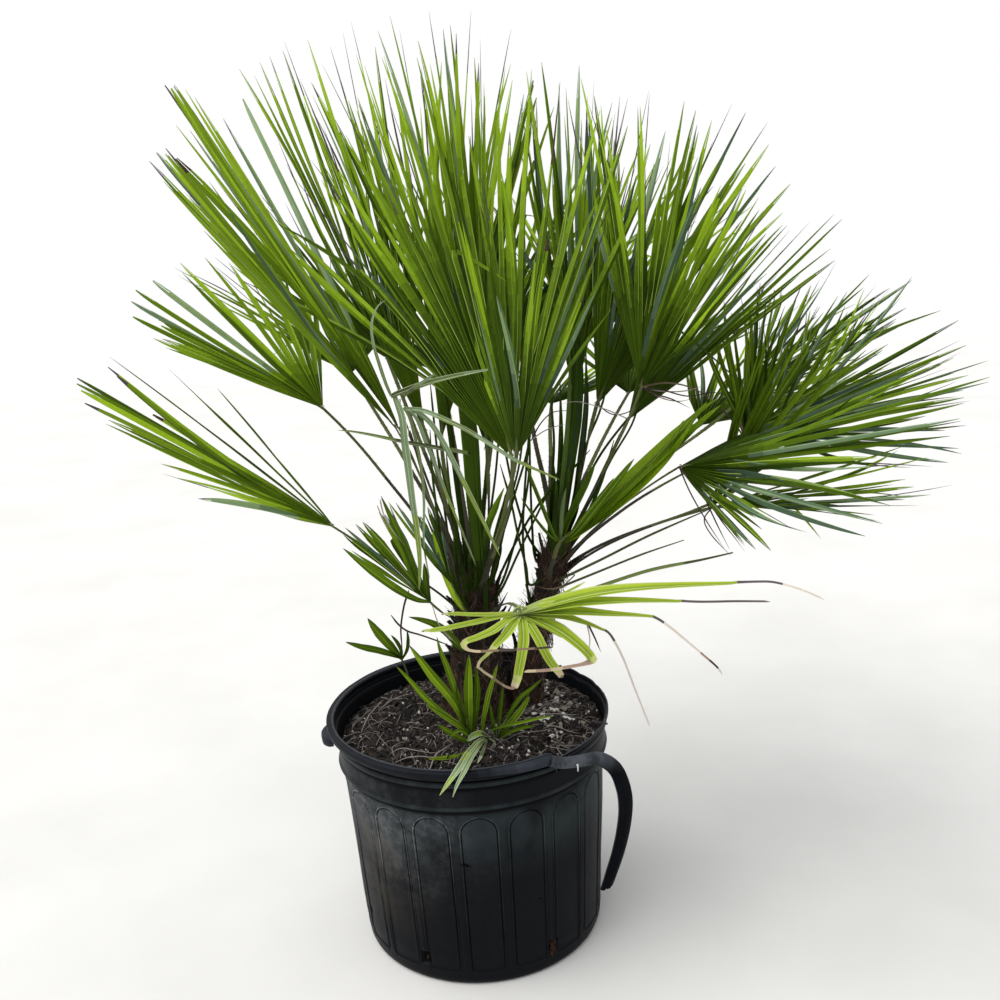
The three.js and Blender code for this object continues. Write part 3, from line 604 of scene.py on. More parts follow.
# how many segments each frond has, where the rows above would leave it too open
COUNT = {
    "left_low": 15, "left_mid": 20, "left_tall_upper": 20, "left_tall_lower": 15, "front_centre": 36, "centre_mid": 27,
    "centre_back": 24, "right_mid": 34, "right_tall": 34, "right_wide": 34, "right_up": 30, "right_far": 34,
    "right_under": 24, "centre_left_back": 28, "centre_right_back": 30, "right_fore": 30, "front_inner": 20,
    "centre_behind": 26, "right_low": 32, "pup_left_outer": 8, "pup_left_inner": 7,
}
# how untidy a frond is, where it isn't 1
WILD = {"right_low": 1.5, "right_wide": 1.7, "right_far": 1.6, "right_up": 1.6, "right_under": 1.3, "right_fore": 1.2, "right_mid": 1.15,
        "centre_mid": 1.2, "front_inner": 1.3, "left_tall_upper": 0.6, "left_tall_lower": 0.65, "left_mid": 0.8, "left_low": 0.8}
# segments that stand out of the crown: place across the fan, reach as a share of the fan's
TIPS = {
    "centre_left_back": [(-1.0, 1.03), (-0.80, 0.99), (-0.65, 1.02), (-0.50, 1.04), (-0.25, 1.03), (-0.12, 1.04), (0.15, 1.03), (0.40, 1.02), (0.60, 1.06), (0.73, 1.08), (0.98, 1.03)],
    "left_tall_upper": [(-0.57, 1.02), (-0.36, 1.0), (-0.10, 0.99), (-0.03, 1.0), (0.03, 1.0), (0.08, 1.01), (0.13, 1.0), (0.18, 0.98), (0.24, 0.95), (0.43, 0.90), (0.95, 1.08)],
    "left_tall_lower": [(-0.85, 0.99), (-0.55, 1.02), (-0.1, 0.98), (0.30, 0.99), (0.38, 1.02), (0.48, 1.0), (0.58, 1.01), (0.70, 1.03)],
    "centre_mid": [(-0.35, 1.01), (-0.02, 1.0), (-0.78, 0.95)],
    "front_centre": [(-0.07, 0.97), (0.05, 0.94), (0.15, 0.91), (0.33, 0.87), (0.45, 0.99), (0.55, 1.0), (0.70, 1.0), (0.80, 1.02), (0.95, 1.03)],
    "centre_back": [(-0.05, 1.01), (0.40, 1.03), (0.52, 0.93), (-0.6, 0.93), (0.72, 0.98), (0.80, 0.99), (0.88, 0.98)],
    "centre_right_back": [(-0.50, 1.05), (-0.30, 0.98), (-0.02, 1.02), (0.20, 1.02), (-0.66, 1.03)],
    "right_tall": [(-0.70, 0.99), (-0.55, 1.03), (-0.35, 0.93), (0.12, 1.09), (0.25, 1.09), (0.38, 1.10), (0.55, 1.06), (0.73, 1.02), (0.88, 1.03)],
    "right_mid": [(-0.02, 1.02), (0.05, 1.01), (0.12, 0.99), (0.20, 1.03), (-0.80, 0.97)],
    "right_fore": [(0.52, 1.0), (0.60, 1.09), (0.70, 1.10), (0.98, 1.0), (0.82, 1.0)],
    "right_far": [(0.05, 1.03), (0.40, 0.91), (0.48, 1.09), (0.90, 1.08), (-0.3, 1.04)],
    "right_wide": [(-0.38, 1.12), (-0.07, 1.02), (0.18, 0.98), (0.40, 0.97), (0.62, 0.96), (0.85, 0.97)],
    "right_low": [(-0.05, 0.98), (0.05, 1.03), (0.23, 1.065), (0.38, 1.075), (0.44, 1.05), (0.52, 1.06), (0.65, 0.82), (0.95, 0.97)],
    "right_under": [(-0.22, 1.12), (0.1, 1.03)],
    "left_low": [(-0.95, 1.0), (-0.70, 1.0), (-0.40, 1.02), (-0.02, 1.0), (0.06, 1.0), (0.12, 0.99), (0.25, 1.0), (0.40, 0.98), (0.68, 0.93)],
    "left_mid": [(-0.60, 0.95), (-0.38, 1.02), (-0.10, 1.03), (0.03, 1.04), (0.12, 1.01), (0.28, 1.0), (0.40, 0.97), (0.50, 0.91), (0.68, 0.86)],
}


class Fan:
    def __init__(self, row):
        self.name, self.parent, hub, first, middle, last, self.n = row
        self.n = COUNT.get(self.name, int(self.n * 1.3) if self.name.startswith("back") else self.n)
        self.hub = np.array(hub)
        self.a, self.b, self.c = ray(*first[:2]), ray(*middle[:2]), ray(*last[:2])
        self.l = first[2], middle[2], last[2]

    def reach(self, s):
        a, b, c = self.l
        return a * s * (s - 1) / 2 + b * (1 - s * s) + c * s * (s + 1) / 2

    def heading(self, s):
        return sweep(self.a, self.b, s + 1) if s < 0 else sweep(self.b, self.c, s)

    def across(self, s):
        return unit(self.heading(min(1, s + 0.05)) - self.heading(max(-1, s - 0.05)))

    def normal(self, s):
        return unit(np.cross(self.heading(s), self.across(s)))


def stalk_curve(fan, n):
    """From inside the parent to the hub, as the solid stalks run."""
    hub, middle = fan.hub, fan.heading(0)
    if fan.parent == "soil":
        foot = np.array([hub[0] * 0.8, hub[1] * 0.85, MIX_TOP - 0.012])
        lift = UP
    else:
        top = TRUNK_TOP[fan.parent]
        away = math.atan2(hub[1] - top[1], hub[0] - top[0])
        drop = float(np.clip((0.820 - hub[2]) * 0.28, -0.020, 0.062))
        z = top[2] - 0.018 - drop
        axis = TRUNK_AXES[fan.parent]
        x, y = np.interp(z, axis[:, 2], axis[:, 0]), np.interp(z, axis[:, 2], axis[:, 1])
        foot = np.array([x + 0.013 * math.cos(away), y + 0.013 * math.sin(away), z])
        lift = unit(np.array([math.cos(away) * 0.45, math.sin(away) * 0.45, 1.0]))
    straight = hub - foot
    length = float(np.linalg.norm(straight))
    straight = straight / length
    arrive = unit(0.75 * straight + 0.5 * middle)
    start = unit(0.7 * straight + 0.5 * lift)
    return bezier(foot, foot + start * length * 0.33, hub - arrive * length * 0.33, hub, n), length


def green(level, bloom=False):
    """The material of a step of green, or of the bluish bloom."""
    if bloom:
        return BLOOM0 + np.clip(np.round(np.asarray(level) * 0.5), 0, BLOOMS - 1).astype(int)
    return GREEN0 + np.clip(np.round(level), 0, GREENS - 1).astype(int)


def blade_strip(soup, centre, across, normal, pw, fd, left, right, rib, t, margin=None):
    """One folded segment: two half blades and a midrib. left, right and rib hold one material a row."""
    n = len(centre)
    ribw = np.minimum(0.00050, pw * 0.14)
    low = centre - normal * (fd * 0.5)[:, None]
    el = centre - across * pw[:, None] + normal * (fd * 0.5)[:, None]
    er = centre + across * pw[:, None] + normal * (fd * 0.5)[:, None]
    ml = low - across * ribw[:, None]
    mr = low + across * ribw[:, None]
    # the halves are a little hollow on top, as stiff folded blades are
    hl = (el + ml) / 2 - normal * (pw * 0.10)[:, None]
    hr = (er + mr) / 2 - normal * (pw * 0.10)[:, None]
    r = t * 0.4
    if margin is not None:  # a thin painted highlight along the margin on one side
        k = np.minimum(0.00085 / np.maximum(pw, 1e-5), 0.5)[:, None]
        ei = el * (1 - k) + hl * k
        soup.grid(np.stack([el, ei], 1)[:n - 3], margin[:n - 4, None])
        el = ei
    for pts, us, m in (((el, hl, ml), (-1, -0.5, -0.06), left), ((mr, hr, er), (0.06, 0.5, 1), right)):
        uv = np.stack([np.broadcast_to(np.array(us), (n, 3)), np.broadcast_to(r[:, None], (n, 3))], -1)
        soup.grid(np.stack(pts, 1), m[:, None], uv=uv)
    soup.grid(np.stack([ml, mr], 1)[:n - 2], rib[:n - 3, None])


def fan_blade(soup, fan, seed, width=None, mood=None, wild=1.0, rows=ROWS_ALONG, palman=PALMAN, fold=(0.66, 0.88)):
    """All the segments of one frond, pleated together near the hub and free beyond."""
    g = np.random.default_rng(seed)
    own = SLOTS.get(fan.name)
    n = len(own) if own else fan.n
    mean, spread, bloomed, hub_shade, deep = MOOD[mood or FROND_MOOD.get(fan.name, "quiet")]
    t = np.concatenate([np.linspace(0.02, palman, 5), palman + (1 - palman) * np.linspace(0, 1, rows - 4)[1:] ** 0.93])
    longest = max(fan.l)
    wmax = (width or (0.0038 + 0.0037 * min(longest, 0.6) / 0.6)) * WIDER.get(fan.name, 1.0)
    slots = np.array(own) if own else -1 + (2 * np.arange(n) + 1) / n
    edges = np.concatenate([[slots[0] - (slots[1] - slots[0]) / 2], (slots[1:] + slots[:-1]) / 2, [slots[-1] + (slots[-1] - slots[-2]) / 2]]).clip(-1, 1)
    ends = {}
    for s, share in TIPS.get(fan.name, []):
        free = [k for k in range(n) if k not in ends]
        ends[min(free, key=lambda k: abs(slots[k] - s))] = (s, share)
    below = 0.955 if len(ends) > 4 else 1.0
    run = g.normal(mean, spread)
    for k in range(n):
        s = slots[k]
        d, a, nn = fan.heading(s), fan.across(s), fan.normal(s)
        dl, dr = fan.heading(edges[k]), fan.heading(edges[k + 1])
        half = 0.5 * math.acos(float(np.clip(dl @ dr, -1, 1)))
        pick = g.random()
        share = g.uniform(0.96, 1.01) if pick < 0.34 else g.uniform(0.86, 0.96) if pick < 0.76 else g.uniform(0.70, 0.86)
        share = (1 - (1 - share) * min(wild, 1.0)) * below
        low, high, less = SHORT.get(fan.name, (9, 9, 1))
        if low <= s <= high:
            share *= less
        ja, jn = g.normal(0, 0.022 * wild), 0.0
        tight = float(np.clip(0.02 / max(half, 0.004), 0.4, 2.2))
        jn = g.normal(0, 0.034 * wild * tight)
        if g.random() < (0.22 if fan.name in ("right_low", "right_wide", "right_far", "right_up", "right_fore") else 0.16) * wild:  # strays out of line and crosses its neighbours
            ja, jn = g.normal(0, 0.075), g.normal(0, 0.055)
        droop = abs(g.normal(0, 0.014)) * wild
        bow = g.normal(0, 0.014) * wild
        to = d
        if k in ends:
            to, share = fan.heading(float(np.clip(ends[k][0], -1, 1))), ends[k][1]
            ja, jn, droop, bow = ja * 0.12, jn * 0.3, 0.0, bow * 0.5
        R = fan.reach(s) * share
        r = t * R
        q = np.clip((t - palman) / (1 - palman), 0, 1)
        thick = any(p <= s <= q2 for p, q2 in BLUNT.get(fan.name, []))
        wf = (WIDTH_BLUNT(t) * 1.12 if thick else WIDTH(t)) * wmax * g.uniform(0.78, 1.12)
        if fan.name == "left_low" and s < -0.2:
            wf = wf * 0.55
        withered = g.random() < (0.30 if not thick else 0.10) * min(wild, 1)
        tip_from = g.uniform(0.70, 0.90) if withered else g.uniform(0.945, 1.02)
        if withered:
            wf = wf * (1 - 0.62 * smooth(t, tip_from - 0.22, tip_from))
        pw = np.minimum(r * math.sin(half) * 1.04, wf * g.uniform(*fold))
        edge_on = g.random() < 0.16 * wild
        wf = np.minimum(wf, np.maximum(pw * 2.1, 0.0009))
        fd = np.sqrt(np.maximum(wf ** 2 - pw ** 2, 0))
        b = smooth(t, 0.08, 0.62)[:, None]
        line = unit(d * (1 - b) + to * b)
        centre = (fan.hub + line * r[:, None] + a * (q ** 1.3 * R * ja + np.sin(q * math.pi) * R * bow)[:, None]
                  + nn * (q ** 1.4 * R * jn)[:, None] - UP * (q ** 2.2 * R * droop)[:, None])
        twist = (g.choice([-1, 1]) * g.uniform(1.0, 1.5) if edge_on else g.normal(0, 0.5)) * smooth(q, 0.0, 0.6)
        kind = g.random()
        if wild and kind < 0.03 and k not in ends and not fan.name.startswith("left"):  # a segment that is bent over
            at = g.uniform(0.45, 0.8)
            over = np.clip(t - at, 0, None) * R
            turn = unit(a * g.normal(0, 0.8) - UP * g.uniform(0.4, 1.2) + d * 0.2)
            centre = np.where((t > at)[:, None], centre - d * over[:, None] * 0.75 + turn * over[:, None] * 0.75, centre)
        A = a * np.cos(twist)[:, None] + nn * np.sin(twist)[:, None]
        N = -a * np.sin(twist)[:, None] + nn * np.cos(twist)[:, None]
        if g.random() < 0.8:
            run = max(g.normal(mean, spread), -1.5)
        if fan.name == "left_low" and s < -0.2:  # the thin ones are dull
            run = 7.0
        elif fan.name == "left_mid" and s > 0.25 and run < 3.5:
            run += 2.0
        bloom = g.random() < bloomed
        tt = t[:-1]
        # painted shade, darkest in the joined part near the hub, its own tone beyond, a little lighter before the tip
        far = hub_shade * g.uniform(0.85, 1.3)
        free = smooth(tt, far * 0.35, far * 1.25)
        along = run * free + (mean + deep + 0.16 * (run - mean)) * (1 - free) - 0.7 * smooth(tt, 0.5, 0.8)
        # one half of the fold is painted about one to four steps darker, as its shaded side
        one = along + g.normal(0, 0.4)
        two = along + g.choice([0.6, 1.6, 2.6, 3.6], p=[0.28, 0.28, 0.28, 0.16])
        if g.random() < 0.5:
            one, two = two, one
        left, right = green(one, bloom), green(two, bloom)
        if bloom:  # the joined part has none
            left, right = np.where(tt < palman, green(one), left), np.where(tt < palman, green(two), right)
        # painted highlights: some midribs take the pale rib colour and the rest a step lighter than the blade, the
        # ridges of the joined part are mostly painted lighter, and some segments get a pale margin
        lit = g.random()
        rib = np.where(lit < 0.30, RIB_HIGHLIGHT, green(along - 1.2, bloom)) + 0 * left
        rib = np.where(tt < palman * 0.8, green(along + g.choice([0.6, -1.6, -2.6])), rib)
        margin = np.where(tt < palman, left, RIB_HIGHLIGHT) if lit > 0.74 else None
        end_kind = g.random()
        if end_kind < 0.025 * wild and k not in ends:  # a segment that lost its point
            m = max(int((t <= g.uniform(0.74, 0.93)).sum()), 8)
            left[m - 2:], right[m - 2:], rib[m - 2:] = SCORCH, SCORCH, SCORCH
            pw[m - 1], fd[m - 1] = pw[m - 1] * 0.55, fd[m - 1] * 0.55
            blade_strip(soup, centre[:m], A[:m], N[:m], pw[:m], fd[:m], left[:m - 1], right[:m - 1], rib[:m - 1], t[:m],
                        None if margin is None else margin[:m - 1])
            continue
        end = SCORCH if end_kind > 0.90 else TIP
        left = np.where(tt >= tip_from, end, left)
        right = np.where(tt >= tip_from, end, right)
        rib = np.where(tt >= tip_from, end, rib)
        blade_strip(soup, centre, A, N, pw, fd, left, right, rib, t, margin)
    return t


STALK_MATS = [
    leaf_material("stalk_green", (0.105, 0.125, 0.042, 1), (0.12, 0.15, 0.03, 1), rough=0.5, share=0.04, vary=0.2, veins=0.8, spec=0.09),
    leaf_material("stalk_dark", (0.054, 0.051, 0.033, 1), (0.05, 0.05, 0.025, 1), rough=0.55, share=0.02, vary=0.28, veins=0.9, spec=0.07),
    fibre_material("stalk_base", [(0.25, lin(20, 15, 10)), (0.5, lin(42, 32, 20)), (0.8, lin(78, 62, 40))]),
    leaf_material("stalk_thorn", (0.11, 0.105, 0.05, 1), (0.15, 0.14, 0.06, 1), rough=0.5, share=0.08, vary=0.1),
]
GREEN, DARK, BASE, THORN = range(4)


def stalk(soup, fan, seed, scale=1.0):
    """A stiff stalk, flat above and round below, toothed on both edges, broad and fibrous at its foot."""
    g = np.random.default_rng(seed)
    n = 26
    path, length = stalk_curve(fan, n)
    u = np.linspace(0, 1, n)
    end = fan.heading(0)
    path = np.vstack([path, fan.hub + end * 0.012, fan.hub + end * 0.030])
    u = np.append(u, [1.02, 1.06])
    wob = (fnoise(np.stack([u * 3, u * 0 + seed, u * 0], 1), 1.0, 2) * 0.004)[:, None]
    side = unit(np.cross(path[-3] - path[0], UP) + 1e-9)
    path[1:-3] += (side * wob * np.sin(math.pi * np.clip(u, 0, 1))[:, None])[1:-3]
    r = np.interp(u, [0, 0.06, 0.16, 0.4, 1.0, 1.02, 1.06],
                  [0.0085, 0.0058, 0.0036, 0.0029, 0.0024, 0.0021, 0.0006]) * scale
    normal = fan.normal(0)
    if normal @ UP < 0:
        normal = -normal
    t = unit(np.gradient(path, axis=0))
    s0 = unit(np.cross(t, np.broadcast_to(UP, t.shape)))
    s1 = unit(np.cross(t, np.broadcast_to(normal, t.shape)))
    if s0[-1] @ s1[-1] < 0:
        s1 = -s1
    blend = smooth(u, 0.55, 1.0)[:, None]
    s = unit(s0 * (1 - blend) + s1 * blend)
    nn = np.cross(s, t)
    w = np.linspace(0, 2 * math.pi, 10, endpoint=False)
    cw, sw = np.cos(w), np.sin(w)
    flat = np.where(sw > 0, 0.30, 0.72)  # flat above, keeled below
    pts = (path[:, None] + s[:, None] * (cw[None, :, None] * r[:, None, None] * 1.25)
           + nn[:, None] * ((sw * flat)[None, :, None] * r[:, None, None]))
    dark = g.uniform(0.35, 0.75)
    mats = np.where(u[:-1] < 0.10, BASE, np.where(u[:-1] < dark, DARK, GREEN))
    uv = np.stack([np.broadcast_to(w / math.pi, (len(u), 10)), np.broadcast_to((u * length)[:, None], (len(u), 10))], -1)
    soup.grid(pts, mats[:, None], close_u=True, uv=uv)
    soup.put(np.vstack([pts[0], path[0]]), [(10, (k + 1) % 10, k) for k in range(10)], BASE)
    # teeth
    for sgn in (-1, 1):
        v = 0.12
        while v < 0.93:
            x = v * (n - 1)
            i = int(x)
            f = x - i
            p = path[i] * (1 - f) + path[i + 1] * f
            rr = (r[i] * (1 - f) + r[i + 1] * f) * 1.25
            ln = g.uniform(0.0014, 0.0034) * min(1, scale * 1.2)
            tt, ss, up = t[i], s[i] * sgn, nn[i]
            base = p + ss * rr * 0.93
            soup.put([base - tt * 0.0008, base + tt * 0.0008, base + up * 0.0005, base - up * 0.0005,
                      base + ss * ln + tt * ln * g.uniform(0.2, 0.9)],
                     [(0, 2, 4), (2, 1, 4), (1, 3, 4), (3, 0, 4)], THORN if g.random() < 0.6 else GREEN)
            v += g.uniform(0.010, 0.022) / length
    # the small ridge where blade meets stalk
    if scale > 0.8:
        hub = fan.hub
        ring = []
        for j in range(9):
            w = math.pi * j / 8
            ring.append(hub + s[-3] * math.cos(w) * 0.0044 + end * math.sin(w) * 0.006)
        ring = np.array(ring)
        nrm = nn[-3]
        soup.grid(np.stack([ring, ring + nrm * 0.0016, ring * 0.8 + hub * 0.2 + nrm * 0.0012], 1), GREEN)


fans = [Fan(row) for row in FRONDS]
OWN_STALK = ("front_centre", "front_inner", "centre_behind", "yellow_low", "pale_bent")
SPECIAL = ("yellow_low", "pale_bent", "right_inner", "pup_front_left", "pup_front_right", "pup_rim")
blade_faces = 0
for k, fan in enumerate(fans):
    small = fan.parent == "soil" or fan.name.startswith("pup")
    st = Soup()
    stalk(st, fan, 500 + k, scale=0.55 if small else 0.82 if fan.name in OWN_STALK else 1.0)
    own = fan.name in OWN_STALK
    st.make("stalk_of_" + fan.name, STALK_MATS, [("stalk_" if own else "frond_") + fan.name])
    if fan.name in SPECIAL:
        continue
    bl = Soup()
    if small:
        fan_blade(bl, fan, 900 + k, width=0.0074, wild=0.8, palman=0.18, fold=(0.85, 0.95))
    else:
        fan_blade(bl, fan, 900 + k, wild=WILD.get(fan.name, 1.0))
    blade_faces += len(bl.f)
    bl.make("blades_of_" + fan.name, leaf_mats, ["frond_" + fan.name])


# ------------------------------------------------------------------ the yellowing low frond, bent pale strands, folded inner frond
lime_mats = [
    leaf_material("lime_blade", (0.29, 0.39, 0.020, 1), (0.50, 0.66, 0.04, 1), rough=0.45, share=0.3, vary=0.12),
    leaf_material("lime_deep", (0.18, 0.275, 0.015, 1), (0.36, 0.52, 0.03, 1), rough=0.45, share=0.3, vary=0.12),
    leaf_material("lime_edge", (0.40, 0.46, 0.14, 1), (0.5, 0.56, 0.2, 1), rough=0.55, share=0.25, vary=0.08),
    leaf_material("lime_hub", (0.27, 0.34, 0.10, 1), (0.4, 0.48, 0.14, 1), rough=0.5, share=0.2, vary=0.1),
    leaf_material("dry_cream", (0.50, 0.42, 0.28, 1), (0.5, 0.42, 0.28, 1), rough=0.8, share=0.2, vary=0.1),
    leaf_material("dry_tan", (0.20, 0.145, 0.095, 1), (0.2, 0.15, 0.1, 1), rough=0.8, share=0.12, vary=0.2),
    leaf_material("dry_brown", (0.060, 0.045, 0.034, 1), (0.08, 0.06, 0.04, 1), rough=0.85, share=0.08, vary=0.25),
    leaf_material("dry_ash", (0.42, 0.38, 0.35, 1), (0.42, 0.38, 0.35, 1), rough=0.8, share=0.2, vary=0.15),
    leaf_material("dry_pink", (0.33, 0.235, 0.185, 1), (0.33, 0.24, 0.18, 1), rough=0.8, share=0.15, vary=0.12),
    leaf_material("dry_slate", (0.105, 0.092, 0.095, 1), (0.12, 0.10, 0.10, 1), rough=0.8, share=0.1, vary=0.2),
    leaf_material("dry_bleached", (0.74, 0.67, 0.60, 1), (0.74, 0.67, 0.60, 1), rough=0.85, share=0.3, vary=0.06),
]
BLADE, DEEP, EDGE, HUBC, CREAM, TAN, BROWN, ASH, PINK, SLATE, BLEACH = range(11)


def along_path(path, n):
    """Resample a path at n even steps."""
    d = np.concatenate([[0], np.cumsum(np.linalg.norm(np.diff(path, axis=0), axis=1))])
    q = np.linspace(0, d[-1], n)
    return np.stack([np.interp(q, d, path[:, i]) for i in range(3)], -1), q


def strap(soup, path, half, facing, fold, mats, twist=0.0, pw=None):
    """A blade segment along any path. mats is one row of eight, or one for each step of the path."""
    n = len(path)
    t = unit(np.gradient(path, axis=0))
    f = np.broadcast_to(unit(np.asarray(facing, float)), (n, 3))
    a = unit(np.cross(t, f))
    for k in range(1, n):  # keep the same side up where the path curls over
        if a[k] @ a[k - 1] < 0:
            a[k] = -a[k]
    nn = np.cross(a, t)
    tw = np.linspace(0, twist, n)
    A = a * np.cos(tw)[:, None] + nn * np.sin(tw)[:, None]
    N = -a * np.sin(tw)[:, None] + nn * np.cos(tw)[:, None]
    half = np.broadcast_to(np.asarray(half, float), (n,))
    fold = np.broadcast_to(np.asarray(fold, float), (n,))
    x = np.array([-1, -0.84, -0.45, -0.10, 0.10, 0.45, 0.84, 1.0])
    y = np.array([1.0, 0.80, 0.34, 0.0, 0.0, 0.34, 0.80, 1.0])
    pts = path[:, None] + A[:, None] * (half[:, None] * x[None])[..., None] + N[:, None] * ((half * fold)[:, None] * y[None])[..., None]
    m = np.asarray(mats)
    if m.ndim == 1:
        m = np.broadcast_to(m, (n - 1, 7))
    uv = np.stack([np.broadcast_to(x, (n, 8)), np.broadcast_to(np.linspace(0, 0.4, n)[:, None], (n, 8))], -1)
    soup.grid(pts, m, uv=uv)


LIVE = [EDGE, BLADE, DEEP, EDGE, DEEP, BLADE, EDGE]


def lime_segment(soup, sight, width, dry_from=1.0, dry=(TAN, TAN), fold=0.35, facing=(0.0, -0.35, 1.0), tail=0.35, seed=0, twist=0.0, n=34, edge=True, slim=False):
    g = np.random.default_rng(seed)
    path, d = along_path(spline([seen(*p) for p in sight], 60), n)
    q = d / d[-1]
    w = np.interp(q, [0, 0.08, 0.3, 0.6, 0.85, 0.97, 1.0], [0.45, 0.62, 1.0, 0.92, 0.62, 0.35, 0.08]) if dry_from >= 1 else \
        np.interp(q, [0, 0.08, dry_from * 0.5, dry_from * 0.92, min(dry_from * 1.12, 0.99), 0.995, 1.0], [0.45, 0.62, 1.0, 0.85, tail, tail * 0.8, 0.05])
    if slim:  # broad at the hub, drawn out evenly into its dry tail
        w = np.interp(q, [0, 0.08, dry_from * 0.38, dry_from * 0.95, dry_from * 1.05, 0.995, 1.0], [0.50, 0.88, 1.0, 0.36, tail, tail * 0.8, 0.05])
    m = np.tile(np.array(LIVE if edge else [BLADE, BLADE, DEEP, EDGE, DEEP, BLADE, BLADE]), (n - 1, 1))
    near = q[:-1] < 0.07
    m[near] = HUBC
    for k in range(n - 1):
        if q[k] > dry_from:
            p = (q[k] - dry_from) / (1 - dry_from + 1e-9)
            m[k] = dry[min(len(dry) - 1, int(p * len(dry)))]
        elif q[k] > dry_from - 0.05 and dry_from < 1 and not slim:
            m[k] = [CREAM, EDGE, EDGE, EDGE, EDGE, EDGE, CREAM]
    f = fold * np.interp(q, [0, 0.2, 1], [1.3, 1.0, 0.7]) * np.where(q > dry_from, 2.2, 1.0)
    path = path + (fnoise(np.stack([q * 5, q * 0 + seed * 3.1, q * 0], 1), 1.0, 2) * 0.0012 * np.sin(q * math.pi))[:, None] * UP
    strap(soup, path, w * width * np.interp(q, [0, 0.25, 0.5], [1.75, 1.55, 1.3]) * MM, facing, f, m, twist=twist)


def build_lime():
    s = Soup()
    H = (521.0, 613.5, -0.220)
    seg = lime_segment
    # towards the left
    seg(s, [H, (483, 615.3, -0.232), (455, 614.4, -0.240), (441, 614.8, -0.243)], 3.4, 0.93, (CREAM, TAN), seed=1)
    seg(s, [H, (498, 617.5, -0.232), (472, 623.7, -0.243), (446, 629, -0.250), (421, 632, -0.254)], 4.3, 0.93, (EDGE, TAN), seed=2)
    seg(s, [H, (506, 622, -0.238), (494, 631, -0.250), (480, 637, -0.256), (467, 641.5, -0.260), (463.5, 645.5, -0.264), (467, 650.5, -0.268),
            (478, 652.5, -0.270), (494, 651.5, -0.272), (515, 650.2, -0.274), (537, 649, -0.276), (553, 647.5, -0.276)], 4.6, 0.44, (CREAM, TAN, BROWN, TAN, BROWN), tail=0.42, seed=3, n=56)
    # hanging towards the front
    seg(s, [H, (513, 626, -0.242), (506, 636, -0.252), (497, 645, -0.260), (492, 650.5, -0.264), (487, 656, -0.266), (481.5, 661, -0.267),
            (479, 667.5, -0.266), (483, 672.5, -0.264), (490, 677, -0.262), (499, 683.5, -0.260), (507, 688, -0.258), (514, 689.5, -0.256)], 4.6, 0.44, (EDGE, CREAM, CREAM, TAN, PINK), tail=0.5, seed=4, n=56)
    seg(s, [H, (523.0, 626, -0.240), (523.6, 640, -0.250), (521.5, 656, -0.258), (519, 669, -0.262), (517, 679, -0.263), (513.6, 688.5, -0.262)], 5.4, 0.84, (EDGE, CREAM, PINK), tail=0.72, seed=5, facing=(0.05, -1.0, 0.45))
    seg(s, [H, (530, 625, -0.240), (537, 636, -0.250), (543, 648, -0.258), (551, 662, -0.262), (563, 677.5, -0.264)], 4.8, 0.90, (CREAM, TAN), tail=0.6, seed=6, facing=(-0.2, -1.0, 0.6))
    seg(s, [H, (534, 620, -0.238), (547, 627, -0.248), (556, 633, -0.254), (562, 637.5, -0.257)], 4.2, seed=7, facing=(0.0, -0.6, 1.0))
    seg(s, [H, (538, 620, -0.240), (558, 630.5, -0.256), (572, 640.5, -0.264), (583, 649.5, -0.270), (591.5, 659.5, -0.274), (592.5, 663, -0.277), (586, 665.2, -0.279),
            (570, 668, -0.281), (550, 670.8, -0.283), (524, 672.2, -0.285)], 7.0, 0.58, (PINK, PINK, CREAM, PINK, CREAM), tail=0.36, seed=8, n=56)
    # towards the right
    seg(s, [H, (542, 615.5, -0.240), (564, 617.2, -0.254), (583, 622.5, -0.262), (600, 628.8, -0.268), (609, 634, -0.270), (617, 647, -0.272), (625, 664, -0.272),
            (634, 688, -0.270), (642, 708, -0.268), (649.5, 727, -0.266)], 5.4, 0.44, (SLATE, BLEACH, BLEACH, BLEACH, BLEACH, BLEACH, BLEACH, BLEACH, BLEACH, BLEACH), tail=0.30, seed=9, n=60, slim=True)
    seg(s, [H, (545, 612.0, -0.240), (580, 612.6, -0.262), (610, 614.4, -0.278), (640, 615.8, -0.292), (654, 618, -0.298), (668, 627, -0.302), (684, 640, -0.304),
            (702, 655, -0.306), (716, 667, -0.308), (722, 675, -0.308)], 6.8, 0.60, (SLATE, BLEACH, BLEACH, BLEACH, BLEACH, PINK, BROWN, BLEACH), tail=0.28, seed=10, n=60, slim=True)
    seg(s, [H, (545, 609.5, -0.240), (580, 603.8, -0.262), (623, 601.3, -0.284), (665, 601.3, -0.300), (700, 602.8, -0.312), (735, 602, -0.322), (770, 602, -0.330)],
        7.4, 0.66, (SLATE, SLATE, SLATE), tail=0.25, seed=11, n=50, slim=True)
    seg(s, [H, (545, 606.5, -0.236), (580, 597, -0.256), (623, 590, -0.278), (677, 586.5, -0.300), (735, 583.2, -0.320), (757, 582.3, -0.328), (775, 583, -0.334),
            (800, 590, -0.340), (825, 600.5, -0.344)], 7.8, 0.72, (SLATE, SLATE, SLATE, BLEACH, BLEACH, BLEACH), tail=0.24, seed=12, n=60, slim=True)
    seg(s, [H, (541, 604.5, -0.226), (560, 595.5, -0.232), (575, 588, -0.238), (586, 582, -0.242)], 2.6, 0.94, (CREAM,), seed=13)
    seg(s, [H, (540, 606.5, -0.228), (562, 600, -0.238), (580, 596.5, -0.246), (596, 592, -0.252)], 3.0, 0.95, (CREAM,), seed=14)
    # the bright little ridge round the hub
    hub = seen(*H)
    ring = [hub + np.array([math.cos(a) * 0.011, -0.001 + math.sin(a) * 0.002, math.sin(a) * 0.009]) for a in np.linspace(-0.4, math.pi + 0.4, 13)]
    tube(s, spline(ring, 26), np.full(26, 0.0013), sides=6, mat=HUBC)
    s.make("blades_of_yellow_low", lime_mats, ["frond_yellow_low"])


